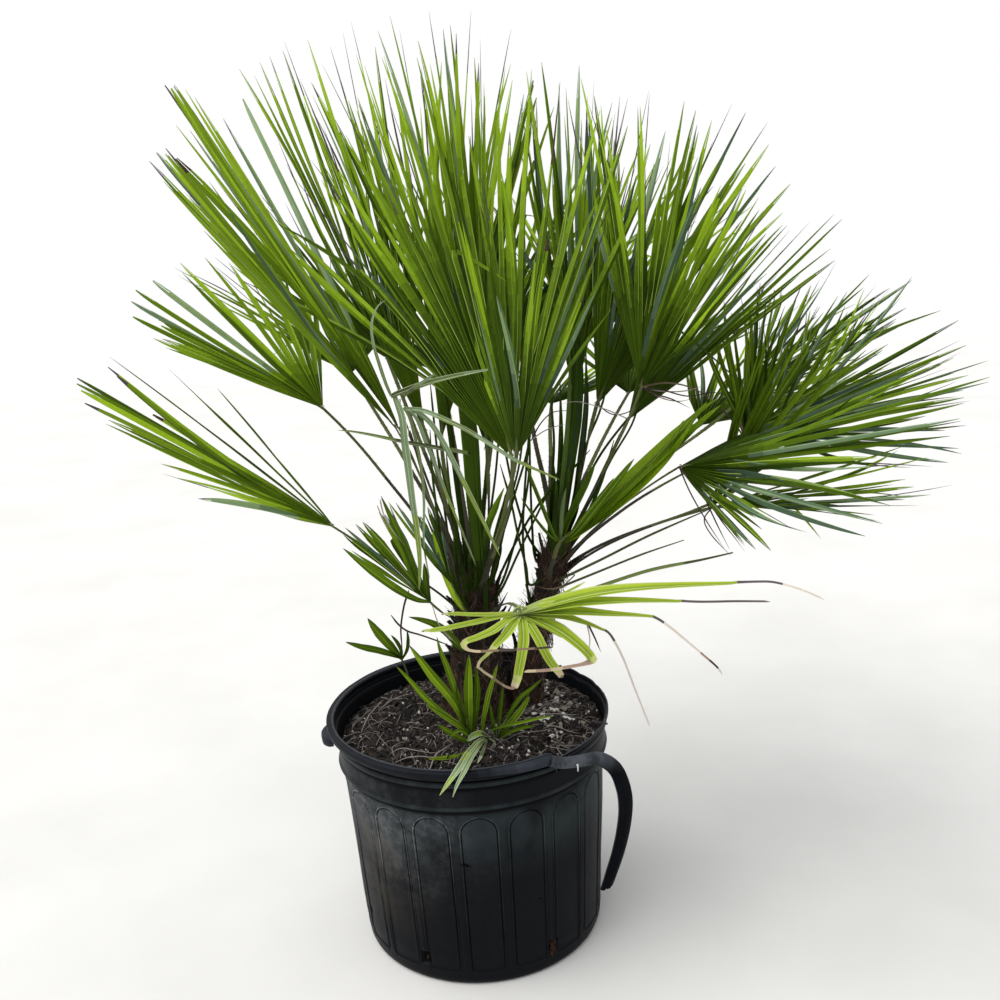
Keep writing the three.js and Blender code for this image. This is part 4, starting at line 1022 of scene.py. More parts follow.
pale_mats = [
    leaf_material("pale_glaucous", (0.205, 0.290, 0.165, 1), (0.32, 0.43, 0.22, 1), rough=0.5, share=0.22, vary=0.12),
    leaf_material("pale_olive", (0.150, 0.200, 0.072, 1), (0.25, 0.33, 0.09, 1), rough=0.5, share=0.22, vary=0.14),
    leaf_material("pale_edge", (0.50, 0.58, 0.37, 1), (0.46, 0.54, 0.30, 1), rough=0.55, share=0.2, vary=0.08),
    leaf_material("pale_lime", (0.22, 0.31, 0.045, 1), (0.34, 0.44, 0.06, 1), rough=0.5, share=0.22, vary=0.12),
    leaf_material("pale_stem", (0.075, 0.092, 0.036, 1), (0.1, 0.13, 0.04, 1), rough=0.5, share=0.08, vary=0.18),
]
PGLAU, POLIVE, PEDGE, PLIME, PSTEM = range(5)


def pale_strand(soup, sight, width, tones, fold=0.8, facing=(0.1, -1.0, 0.4), seed=0, n=44, blunt=False):
    path, d = along_path(spline([seen(*p) for p in sight], 70), n)
    q = d / d[-1]
    w = np.interp(q, [0, 0.05, 0.3, 0.75, 0.94, 1.0], [0.6, 0.85, 1.0, 0.7, 0.42, 0.34 if blunt else 0.06])
    m = np.zeros((n - 1, 7), int)
    for k in range(n - 1):
        tone = tones[min(len(tones) - 1, int(q[k] * len(tones)))]
        m[k] = [PEDGE, tone, tone, PEDGE, tone, tone, tone]
    strap(soup, path, w * width * MM, facing, fold, m, twist=0.5 * math.sin(seed * 2.3))


def build_pale():
    s = Soup()
    # two strands held out to the right
    pale_strand(s, [(391, 396.5, -0.140), (401, 392.5, -0.144), (414, 388, -0.150), (435, 381.5, -0.162), (465, 374.5, -0.180), (488, 370.2, -0.194)], 4.2, [PSTEM, POLIVE, POLIVE, PGLAU], seed=1, blunt=True)
    pale_strand(s, [(404, 396, -0.144), (412, 390, -0.150), (419, 384.5, -0.156), (427, 379, -0.162), (434.5, 373.6, -0.168)], 2.8, [POLIVE, PGLAU], seed=2, blunt=True)
    # long strands that hang, broken over at the hub
    pale_strand(s, [(394.5, 397, -0.142), (399, 408, -0.146), (402.5, 421, -0.150), (404.5, 442, -0.152), (408, 468, -0.152), (412, 501, -0.150), (416.3, 529, -0.148), (419.3, 560, -0.146), (419, 590, -0.144)],
                5.2, [PGLAU, PGLAU, PGLAU, PLIME, PLIME], seed=3, n=56)
    pale_strand(s, [(404, 409, -0.140), (412, 410, -0.146), (422, 415.5, -0.150), (434, 428, -0.154), (447.5, 451, -0.156), (464.5, 484.5, -0.154), (481.5, 518.5, -0.150), (491, 538, -0.146), (500, 556, -0.142)],
                3.8, [PGLAU, PGLAU, PLIME, PLIME], seed=4, n=56)
    pale_strand(s, [(403, 409.5, -0.138), (416, 409.5, -0.150), (429, 412.8, -0.170), (448, 421, -0.196), (467, 430, -0.216), (490, 444, -0.232), (513, 458.5, -0.240), (532, 467.5, -0.240), (547, 474, -0.236), (560, 480, -0.230)],
                3.2, [PGLAU, POLIVE, PGLAU, PLIME], seed=5, n=56)
    pale_strand(s, [(404.5, 409.5, -0.139), (411, 412.5, -0.136), (417.5, 421, -0.132), (425, 441, -0.126), (433, 460, -0.120), (439.5, 476.5, -0.114), (447, 497, -0.108), (454.5, 514.5, -0.104), (465, 540, -0.100), (476, 566, -0.098)],
                2.6, [PGLAU, PGLAU, PLIME, POLIVE], seed=6, n=50)
    pale_strand(s, [(404.5, 409.5, -0.139), (409, 417, -0.130), (413, 430, -0.118), (420, 460, -0.110), (424, 500, -0.105), (424, 545, -0.10), (430, 580, -0.095)], 2.2, [POLIVE, PGLAU], seed=7)
    # the loose end that lies level behind them
    pale_strand(s, [(470, 454, -0.038), (458, 452, -0.080), (445, 449.5, -0.120), (425, 446, -0.126), (400, 441.5, -0.134), (372, 435.4, -0.142), (352, 431.8, -0.146), (338, 430.3, -0.148)], 3.3, [POLIVE, PSTEM, POLIVE], fold=0.9, seed=8)
    # curls at the broken ends
    pale_strand(s, [(391, 396, -0.142), (386, 384, -0.146), (380, 366, -0.148), (374, 345, -0.146), (372, 325, -0.142), (377, 308, -0.138), (386, 300, -0.134)], 2.4, [POLIVE, PGLAU], seed=9)
    s.make("blades_of_pale_bent", pale_mats, ["frond_pale_bent"])


def folded_arm(soup, sight, width, mats_run, seed, fold=0.9, n=36, facing=(-0.45, -0.8, 0.5), taper=None):
    """One folded segment of a half-opened frond."""
    path, d = along_path(spline([seen(*p) for p in sight], 60), n)
    q = d / d[-1]
    w = np.interp(q, *(taper or ([0, 0.1, 0.35, 0.75, 0.93, 1.0], [0.35, 0.6, 1.0, 0.9, 0.5, 0.06])))
    m = np.zeros((n - 1, 7), int)
    g = np.random.default_rng(seed)
    one, two = int(g.choice(mats_run)), int(g.choice(mats_run))
    # the first and middle columns often take the pale rib colour as painted highlights
    m[:] = [RIB_HIGHLIGHT if g.random() < 0.4 else one, one, one, RIB_HIGHLIGHT if g.random() < 0.6 else two, two, two, two]
    strap(soup, path, w * width * MM, facing, fold, m, twist=g.normal(0, 0.25))


def build_inner():
    """The half-opened frond beside the right trunk: one arm of pressed segments and a few narrow ones."""
    s = Soup()
    T = {k: LEAF.index(k) for k in LEAF}
    lit = [T["fresh"], T["mid"], GREEN0 + 1, GREEN0 + 2, GREEN0 + 3, T["bright"]]
    H = (561, 543, -0.080)
    arm = [((716, 399), 6.0), ((721, 405), 6.0), ((713, 412), 5.4), ((707, 402), 6.2), ((700, 411), 6.4), ((693, 424), 5.2), ((684, 420), 5.6)]
    for k, ((u1, v1), wd) in enumerate(arm):
        off = (k - 3) * 1.5
        y1 = -0.080 - 0.030 - 0.006 * (k % 3)
        mid = (H[0] + (u1 - H[0]) * 0.45 + off * 0.9 + 3, H[1] + (v1 - H[1]) * 0.43 + off * 1.6 + 4, -0.094 - 0.003 * (k % 2))
        q3 = (H[0] + (u1 - H[0]) * 0.75 + off * 0.8 + 3, H[1] + (v1 - H[1]) * 0.74 + off * 1.4 + 4, -0.104 - 0.004 * (k % 3))
        folded_arm(s, [H, (578 + off * 0.2, 533 + off * 0.4, -0.084), mid, q3, (u1, v1, y1)], wd * 1.12, lit, 40 + k)
    for k, (pts, wd, tones) in enumerate([
            ([H, (576, 533, -0.086), (596, 509, -0.092), (617, 482, -0.098), (634, 459, -0.102)], 5.6, lit),
            ([H, (575, 530, -0.082), (599, 500, -0.086), (614, 478, -0.088)], 4.0, [T["mid"], T["fresh"]]),
            ([H, (567, 525, -0.084), (578, 503, -0.088), (588, 482, -0.092), (595.5, 463, -0.094)], 5.6, [T["mid"], T["deep"], T["fresh"]]),
            ([H, (566, 530, -0.080), (574, 508, -0.082), (581, 488, -0.084)], 4.4, [T["deep"], T["mid"]]),
            ([H, (554, 533, -0.086), (546, 513, -0.092), (537, 491, -0.098), (530, 473, -0.102), (527.5, 460, -0.104)], 3.4, [T["mid"], T["deep"]]),
            ([H, (552, 537, -0.082), (540, 523, -0.086), (530, 509, -0.088), (521, 497, -0.090)], 2.6, [T["deep"], T["glaucous"]]),
            ([H, (562, 530, -0.086), (563, 510, -0.090), (566, 488, -0.092)], 3.2, [T["mid"], T["glaucous"]])]):
        folded_arm(s, pts, wd, tones, 60 + k)
    s.make("blades_of_right_inner", leaf_mats, ["frond_right_inner"])


def pup_leaf(soup, sight, width, level, seed, fold=0.42, facing=(0.0, -0.9, 0.55), n=30, margin=False, tip=TIP, bloom=False, hub_shade=2.0):
    """One broad segment of a basal shoot."""
    g = np.random.default_rng(seed)
    path, d = along_path(spline([seen(*p) for p in sight], 50), n)
    q = d / d[-1]
    w = np.interp(q, [0, 0.12, 0.35, 0.65, 0.85, 0.95, 1.0], [0.30, 0.62, 0.96, 1.0, 0.66, 0.32, 0.06])
    m = np.zeros((n - 1, 7), int)
    # painted shade towards the base of the leaf; the second half of the fold is painted darker as its shaded side
    along = level + hub_shade * (1 - smooth(q[:-1], 0.05, 0.5))
    one, two = green(along + g.normal(0, 0.3), bloom), green(along + g.uniform(0.8, 2.2), bloom)
    if g.random() < 0.5:
        one, two = two, one
    m[:, :3], m[:, 4:] = one[:, None], two[:, None]
    # the midrib is painted lighter as a highlight, and margins where given take the pale rib colour as painted
    # highlights
    m[:, 3] = np.where(q[:-1] < 0.85, green(along - 2.4), one)
    if margin:
        m[:, 0] = np.where(q[:-1] > 0.2, RIB_HIGHLIGHT, one)
        m[:, 6] = np.where(q[:-1] > 0.35, RIB_HIGHLIGHT, two)
    if tip is not None:
        m[q[:-1] > 0.955] = tip
    strap(soup, path, w * width * MM, facing, fold, m, twist=g.normal(0, 0.3))


def build_pups():
    """The basal shoots: broad short segments that stand in front of the trunks and over the rim."""
    s = Soup()
    for k, (pts, wd, level, kw) in enumerate([
            ([(469, 735, -0.078), (458, 709, -0.090), (446, 692, -0.098), (433, 677, -0.106), (421, 661, -0.112), (409, 645, -0.118)], 6.6, 4.6, {}),
            ([(471, 735, -0.076), (461, 706, -0.084), (455, 690, -0.088), (447, 668, -0.092), (440, 650, -0.096), (436.8, 637, -0.10)], 4.8, 5.4, {}),
            ([(470, 736, -0.082), (469, 715, -0.092), (468.5, 695, -0.098), (468.8, 675, -0.103), (469, 654, -0.106)], 6.8, 4.4, {}),
            ([(473, 736, -0.074), (476, 710, -0.080), (477.5, 690, -0.084), (476, 666, -0.088)], 4.8, 6.8, {}),
            ([(466, 736, -0.078), (462, 716, -0.086), (459, 700, -0.090), (456, 684, -0.094)], 4.2, 6.4, {}),
            ([(481, 740, -0.086), (484, 718, -0.094), (488, 697, -0.100), (493, 680, -0.106), (498, 662.8, -0.110)], 3.8, 4.6, {"margin": True}),
            ([(474, 736, -0.082), (455, 722, -0.097), (440, 711, -0.106), (425, 698, -0.114), (410, 681, -0.122), (395, 665, -0.128)], 4.4, 4.8, {}),
            ([(474, 738, -0.088), (458, 725, -0.102), (441, 714, -0.110), (425, 703.5, -0.118)], 4.6, 4.4, {"margin": True}),
            ([(472, 743, -0.096), (460, 738, -0.106), (449, 732, -0.112), (437, 724, -0.118)], 4.4, 5.8, {}),
            ([(472, 748, -0.110), (461, 755, -0.126), (445, 757.5, -0.136), (427, 759, -0.146)], 3.2, 3.4, {"margin": True}),
            ([(474, 740, -0.090), (466, 733, -0.104), (458, 731, -0.112), (449, 737, -0.120)], 3.4, 5.2, {})]):
        pup_leaf(s, pts, wd, level - 2.0, 400 + k, **kw)
    s.make("blades_of_pup_front_left", leaf_mats, ["frond_pup_front_left"])

    s = Soup()
    for k, (pts, wd, level, kw) in enumerate([
            ([(499, 735, -0.078), (508, 716, -0.084), (520, 698, -0.088), (532, 688, -0.090), (543, 678, -0.090)], 3.4, 6.6, {}),
            ([(501, 735, -0.080), (507, 727, -0.086), (513, 720, -0.090), (522, 708, -0.094), (530, 696, -0.096)], 4.8, 5.2, {"margin": True}),
            ([(488, 731, -0.086), (500, 727, -0.092), (520, 722.5, -0.100), (540, 718, -0.106), (554, 716, -0.110)], 2.4, 5.0, {"margin": True}),
            ([(498, 735, -0.076), (499.5, 718, -0.080), (501.5, 700, -0.084), (503, 684, -0.086)], 3.4, 7.0, {}),
            ([(496, 736, -0.074), (492, 718, -0.078), (489.5, 702, -0.080)], 3.0, 7.4, {}),
            ([(501, 736, -0.078), (514, 719, -0.082), (524, 703, -0.084), (530, 690, -0.086)], 2.8, 7.0, {}),
            ([(500, 738, -0.084), (512, 731, -0.092), (524, 727, -0.098), (536, 726, -0.102)], 3.2, 6.2, {})]):
        pup_leaf(s, pts, wd, level - 2.0, 430 + k, **kw)
    s.make("blades_of_pup_front_right", leaf_mats, ["frond_pup_front_right"])

    s = Soup()
    for k, (pts, wd, level, kw) in enumerate([
            ([(401.5, 659, 0.036), (394, 650, 0.028), (384.5, 640, 0.018), (376, 630, 0.010), (367.6, 618.3, 0.0)], 7.0, 5.6, {}),
            ([(401, 658, 0.036), (390, 654, 0.022), (378, 650.5, 0.006), (362, 647, -0.010), (345.5, 642, -0.022)], 5.2, 6.0, {}),
            ([(402, 659, 0.038), (401, 650, 0.040), (397, 642, 0.042), (391, 635, 0.044)], 3.0, 8.0, {}),
            ([(402, 660, 0.038), (407, 650, 0.040), (408, 640, 0.042), (407, 630, 0.044)], 2.8, 8.4, {})]):
        pup_leaf(s, pts, wd, level, 450 + k, **kw)
    s.make("blades_of_pup_rim", leaf_mats, ["frond_pup_rim"])

    # the pale-edged leaf that leans out and hangs over the rim
    s = Soup()
    for k, (pts, wd, tones) in enumerate([
            ([(485, 738, -0.092), (479, 741, -0.120), (472, 749, -0.150), (466, 757, -0.182), (459, 768.5, -0.217), (450, 781, -0.238), (439.7, 795.3, -0.247)], 5.2, [POLIVE, POLIVE, PLIME, PGLAU, PLIME]),
            ([(486, 739, -0.092), (480, 745, -0.130), (474.5, 753, -0.165), (469, 762, -0.202), (463, 774, -0.230), (457, 785, -0.243), (452.6, 797.5, -0.252)], 3.8, [POLIVE, PGLAU, PGLAU]),
            ([(487, 740, -0.096), (484, 748, -0.128), (481, 756, -0.154), (477.5, 763.5, -0.180)], 2.2, [PSTEM, POLIVE, PEDGE]),
            ([(488, 736, -0.090), (480, 733.5, -0.102), (473, 736, -0.112), (467, 741, -0.120)], 4.6, [PSTEM, PLIME, PGLAU]),
            ([(489, 738, -0.092), (494, 742, -0.100), (493, 749, -0.110), (487, 753, -0.118)], 1.8, [PSTEM, PEDGE])]):
        path, d = along_path(spline([seen(*p) for p in pts], 60), 36)
        q = d / d[-1]
        w = np.interp(q, [0, 0.1, 0.4, 0.75, 0.92, 1.0], [0.35, 0.55, 0.9, 1.0, 0.55, 0.08])
        m = np.zeros((35, 7), int)
        for j in range(35):
            tone = tones[min(len(tones) - 1, int(q[j] * len(tones)))]
            m[j] = [PEDGE, tone, tone, PEDGE if k < 2 else tone, POLIVE if tone == PGLAU else tone, tone, PEDGE]
        strap(s, path, w * wd * MM, (0.05, -0.8, 0.9), 0.34, m, twist=0.2 * (k - 1))
    s.make("blades_of_pup_over_rim", pale_mats, ["frond_pup_over_rim"])

    # a small leaf that shows beside the left trunk
    s = Soup()
    pup_leaf(s, [(476, 654, -0.002), (464, 649, -0.022), (456, 643, -0.034), (446, 632, -0.040), (434, 624.5, -0.046), (421, 620, -0.052), (408.5, 617, -0.056)], 6.0, 5.2, 470)
    s.make("side_leaf", leaf_mats)

    # broader segments of the two small fronds on the left
    s = Soup()
    for k, (pts, wd, level) in enumerate([
            ([(430, 602, -0.130), (416, 599.5, -0.133), (396, 589, -0.137), (370, 570.5, -0.142), (343, 548.5, -0.148)], 6.0, 4.4),
            ([(430, 602, -0.130), (418, 580, -0.133), (407, 551, -0.137), (395, 526, -0.142), (381, 496, -0.148)], 4.6, 4.2),
            ([(430, 602, -0.130), (412, 571, -0.133), (404, 550, -0.137), (392, 531, -0.142), (379, 512, -0.148)], 5.6, 3.2),
            ([(470, 615, -0.015), (459, 604, -0.045), (450, 588, -0.066), (442, 568, -0.080), (437, 550, -0.086), (431, 528, -0.090)], 5.2, -0.6),
            ([(430, 602, -0.130), (427, 590, -0.133), (425.5, 577, -0.133), (424, 563, -0.137)], 4.6, 5.8)]):
        pup_leaf(s, pts, wd, level, 480 + k)
    s.make("broad_blades_of_pup_left_outer", leaf_mats, ["frond_pup_left_outer"])


def build_crossing():
    """Segments of the right-hand fronds that stand up across their neighbours, each from its own hub."""
    g = np.random.default_rng(88)
    for name, hub, y, tips, levels in (
            ("right_wide", (745, 440), 0.12, [(700, 330, .05), (709, 316, .04), (717, 322, .06), (724, 301, .05), (731, 312, .03), (741, 297, .05), (749, 305, .03),
                                             (757, 287, .04), (766, 298, .02), (776, 290, .05), (785, 306, .03), (796, 300, .04), (727, 345, .02), (752, 332, .0)], (3.2, 7.6)),
            ("right_under", (712, 507), -0.02, [(838, 296, -.15), (801, 322, -.14), (818, 306, -.16), (772, 332, -.12), (789, 352, -.15), (812, 346, -.17), (846, 334, -.18),
                                               (866, 350, -.18), (759, 352, -.11), (745, 372, -.10), (830, 372, -.19), (856, 394, -.20)], (2.6, 7.0)),
            ("right_up", (752, 478), 0.06, [(764, 330, .01), (781, 326, .0), (803, 314, .0), (824, 318, -.01), (748, 336, .03), (845, 306, .0)], (4.0, 8.0)),
            ("right_low", (679, 467), -0.10, [(961, 421, -.40), (950, 436, -.39)], (3.0, 5.0))):
        s = Soup()
        for k, (u1, v1, y1) in enumerate(tips):
            du, dv = u1 - hub[0], v1 - hub[1]
            off = g.normal(0, 3.0)
            sight = [(*hub, y), (hub[0] + du * 0.22 - off * 0.4, hub[1] + dv * 0.24, y + (y1 - y) * 0.3), (hub[0] + du * 0.50 + off * 0.6, hub[1] + dv * 0.52, y + (y1 - y) * 0.65),
                     (hub[0] + du * 0.78 + off * 0.6, hub[1] + dv * 0.79, y + (y1 - y) * 0.9), (u1, v1, y1)]
            path, d = along_path(spline([seen(*p) for p in sight], 40), 20)
            q = d / d[-1]
            w = np.interp(q, [0, 0.12, 0.4, 0.7, 0.9, 1.0], [0.12, 0.45, 1.0, 0.85, 0.45, 0.06]) * g.uniform(3.4, 5.0)
            # painted shade towards the hub, the second half of the fold painted darker as its shaded side, and the
            # midrib painted lighter or pale as a highlight
            level = g.uniform(*levels) + 2.4 * (1 - smooth(q[:-1], 0.05, 0.5))
            one, two = green(level), green(level + g.uniform(0.8, 2.6))
            if g.random() < 0.5:
                one, two = two, one
            m = np.zeros((19, 7), int)
            m[:, :3], m[:, 4:] = one[:, None], two[:, None]
            m[:, 3] = RIB_HIGHLIGHT if g.random() < 0.35 else green(level - 1.2)
            if g.random() < 0.3:
                m[q[:-1] > 0.93] = TIP
            strap(s, path, w * MM, (0.2 + g.normal(0, 0.3), -0.9, 0.3), 0.8, m, twist=g.normal(0, 0.5))
        s.make("crossing_blades_of_" + name, leaf_mats, ["frond_" + name])


def carried(path, reach=0.030):
    """Lengthen a strand, at whichever end is closer, to the nearest thing that can carry it. None where nothing is in reach."""
    best = None
    for end in (0, -1):
        for v in MADE:
            d = ((v - path[end]) ** 2).sum(1)
            i = int(d.argmin())
            if best is None or d[i] < best[0]:
                best = (float(d[i]), end, v[i])
    if math.sqrt(best[0]) > reach:
        return None
    return np.concatenate([[best[2]], path]) if best[1] == 0 else np.concatenate([path, [best[2]]])


def build_loose():
    """Dead straps, dry curls and odd thin segments among the stalks."""
    s = Soup()
    thin = [
        ([(490, 650, 0.0), (500, 628, -0.010), (512, 604, -0.015)], 3.6, BROWN),
        ([(492, 642, 0.010), (506, 622, 0.0), (522, 603, -0.005)], 3.2, BROWN),
        ([(488, 632, 0.0), (498, 612, -0.010), (508, 592, -0.015)], 3.4, BROWN),
        ([(536, 652, 0.020), (527, 632, 0.010), (519, 612, 0.010)], 3.6, BROWN),
        ([(697, 478, -0.10), (706, 500, -0.12), (718, 526, -0.13), (730, 550, -0.14)], 1.3, BROWN),
        ([(700, 476, -0.10), (712, 500, -0.12), (727, 524, -0.13), (742, 544, -0.14)], 1.1, BROWN),
        ([(409, 590, -0.010), (404, 606, 0.0), (401, 628, 0.012), (402, 646, 0.025), (402, 657, 0.034)], 1.6, BROWN),
        ([(391, 615, -0.070), (398, 624, -0.068), (407, 631, -0.064), (420, 635, -0.056), (437, 641, -0.044), (450, 646, -0.034), (459, 648, -0.028)], 1.5, BROWN),
        ([(456, 644, -0.034), (440, 626, -0.048), (432, 604, -0.058), (424, 590, -0.066)], 1.2, ASH),
        ([(587, 623.5, -0.264), (590, 640, -0.270), (588, 655, -0.272)], 1.0, ASH),
        ([(588, 624, -0.264), (595, 638, -0.270), (601, 652, -0.274)], 1.3, BROWN),
        ([(531, 441, 0.02), (540, 424, 0.02), (551, 413, 0.02), (562, 410.5, 0.02), (573, 411, 0.02)], 1.2, BROWN),
        ([(531, 440, 0.03), (544, 431, 0.03), (557, 426, 0.03), (566, 424.5, 0.03)], 1.0, ASH),
        ([(440, 540, -0.07), (450, 560, -0.07), (458, 585, -0.05), (464, 605, -0.04)], 1.4, BROWN),
        ([(380, 500, -0.15), (384, 516, -0.152), (392, 530, -0.15), (404, 545, -0.145)], 1.1, ASH),
        ([(377, 505, -0.15), (383, 520, -0.15), (388, 530, -0.15)], 0.9, ASH),
        ([(641, 386, -0.055), (660, 391, -0.06), (684, 391, -0.06), (706, 385, -0.06)], 1.0, ASH),
        ([(641, 387, -0.055), (662, 398, -0.06), (681, 401, -0.06), (698, 396, -0.06)], 0.9, TAN),
        ([(630, 420, -0.02), (604, 409, -0.03), (578, 402, -0.03), (560, 404, -0.03)], 1.0, ASH),
        ([(597, 404, 0.02), (611, 414, 0.0), (626, 413, 0.0), (640, 404, 0.0)], 1.0, BROWN),
        ([(745, 440, 0.11), (733, 470, 0.10), (724, 500, 0.09), (722, 524, 0.08)], 1.1, BROWN),
        ([(712, 507, -0.02), (722, 522, -0.03), (736, 540, -0.03), (745, 552, -0.03)], 1.2, BROWN),
        ([(575, 575, 0.0), (562, 586, -0.02), (548, 589, -0.03), (537, 586, -0.03)], 1.0, TAN),
        ([(641, 388, -0.055), (655, 394, -0.065), (672, 399, -0.07), (690, 408, -0.07)], 1.3, BROWN),
        ([(641, 388, -0.055), (662, 390, -0.065), (688, 396, -0.07), (712, 392, -0.06), (733, 398, -0.05)], 1.1, BROWN),
        ([(645, 386, -0.055), (668, 383, -0.06), (692, 388, -0.06), (716, 402, -0.05)], 1.2, TAN),
        ([(745, 440, 0.10), (735, 424, 0.08), (722, 410, 0.06), (708, 404, 0.04), (694, 402, 0.03)], 1.4, BROWN),
        ([(745, 440, 0.10), (741, 422, 0.07), (738, 406, 0.05), (741, 392, 0.04)], 1.3, TAN),
        ([(712, 507, -0.03), (704, 520, -0.05), (712, 536, -0.06), (731, 556, -0.07)], 1.1, BROWN),
        ([(679, 467, -0.11), (690, 492, -0.14), (706, 520, -0.16), (724, 548, -0.17)], 1.1, BROWN),
        ([(679, 467, -0.11), (694, 486, -0.14), (716, 512, -0.17), (745, 546, -0.19)], 1.3, BROWN),
    ]
    for k, (pts, wd, m) in enumerate(thin):
        path = carried(spline([seen(*p) for p in pts], 40))
        if path is None:
            continue
        path, d = along_path(path, 24)
        q = d / d[-1]
        strap(s, path, wd * MM * np.interp(q, [0, 0.1, 0.7, 1], [0.4, 1, 0.8, 0.15]), (0.1, -1, 0.3), 0.7, [m] * 7, twist=1.2 * math.sin(k))
    s.make("dry_strands", lime_mats)

    # bare stalks that lean out of the right trunk
    s = Soup()
    for k, (pts, wd, tones) in enumerate([
            ([(546, 604, 0.0), (566, 598, -0.03), (600, 586, -0.05), (650, 570, -0.07), (700, 560, -0.09), (733, 552.5, -0.10)], 3.0, (PSTEM, POLIVE, POLIVE, PSTEM)),
            ([(548, 592, 0.0), (590, 575, -0.02), (640, 555, -0.04), (684, 540, -0.05)], 1.9, (PSTEM, PSTEM)),
            ([(550, 584, 0.0), (600, 560, -0.02), (650, 535, -0.03), (712, 508, -0.03)], 2.1, (PSTEM, PSTEM, PSTEM))]):
        path, d = along_path(spline([seen(*p) for p in pts], 60), 40)
        q = d / d[-1]
        m = np.array([[tones[min(len(tones) - 1, int(u * len(tones)))]] * 7 for u in q[:-1]])
        m[:, 3] = np.where(m[:, 3] == POLIVE, PLIME, PSTEM)
        strap(s, path, wd * MM * np.interp(q, [0, 0.1, 0.7, 1], [1.3, 1, 0.8, 0.35]), (0.1, -1, 0.3), 0.8, m)
    s.make("bare_stalks", pale_mats)


build_lime()
build_pale()
build_inner()
build_pups()
build_crossing()


# ------------------------------------------------------------------ trunks
TRUNKS = {
    "left": np.array([[6, 30, 345.6, 58], [8, 22, 372, 46], [14, 10, 430, 39], [20, 4, 500, 34], [24, 0, 560, 29]], float) * MM,
    "right": np.array([[80, 50, 345.6, 34], [92, 42, 400, 27], [112, 28, 480, 22.4], [134, 12, 560, 18.6], [150, 0, 622, 15.2]], float) * MM,
}
bark_core = fibre_material("bark_core", [(0.2, (0.0045, 0.0032, 0.0026, 1)), (0.45, (0.018, 0.0108, 0.0078, 1)), (0.7, (0.060, 0.034, 0.0230, 1)), (0.9, (0.130, 0.080, 0.058, 1))],
                           scale=(170, 170, 26), depth=0.0016, strength=1.0)
bark_mats = [
    fibre_material("fibre_black", [(0.3, (0.003, 0.0024, 0.002, 1)), (0.7, (0.009, 0.0065, 0.005, 1))], scale=(200, 200, 60)),
    fibre_material("fibre_umber", [(0.3, (0.015, 0.0088, 0.0062, 1)), (0.7, (0.042, 0.023, 0.0150, 1))], scale=(200, 200, 60)),
    fibre_material("fibre_rust", [(0.3, (0.044, 0.0205, 0.0135, 1)), (0.7, (0.118, 0.056, 0.035, 1))], scale=(200, 200, 60)),
    fibre_material("fibre_tan", [(0.3, (0.100, 0.064, 0.048, 1)), (0.7, (0.23, 0.160, 0.120, 1))], scale=(200, 200, 60)),
]
stub_mats = [
    fibre_material("stub_skin", [(0.25, (0.007, 0.006, 0.003, 1)), (0.55, (0.022, 0.018, 0.008, 1)), (0.85, (0.055, 0.042, 0.018, 1))], scale=(160, 160, 24)),
    fibre_material("stub_cut", [(0.3, (0.030, 0.020, 0.013, 1)), (0.7, (0.11, 0.08, 0.05, 1))], scale=(240, 240, 240)),
    fibre_material("stub_dark", [(0.25, (0.0035, 0.0028, 0.002, 1)), (0.6, (0.010, 0.0075, 0.005, 1)), (0.85, (0.028, 0.020, 0.012, 1))], scale=(160, 160, 24)),
]


def trunk_axis(key, u):
    p = TRUNKS[key]
    seg = np.linspace(0, 1, len(p))
    return np.stack([np.interp(u, seg, p[:, i]) for i in range(3)], -1), np.interp(u, seg, p[:, 3])


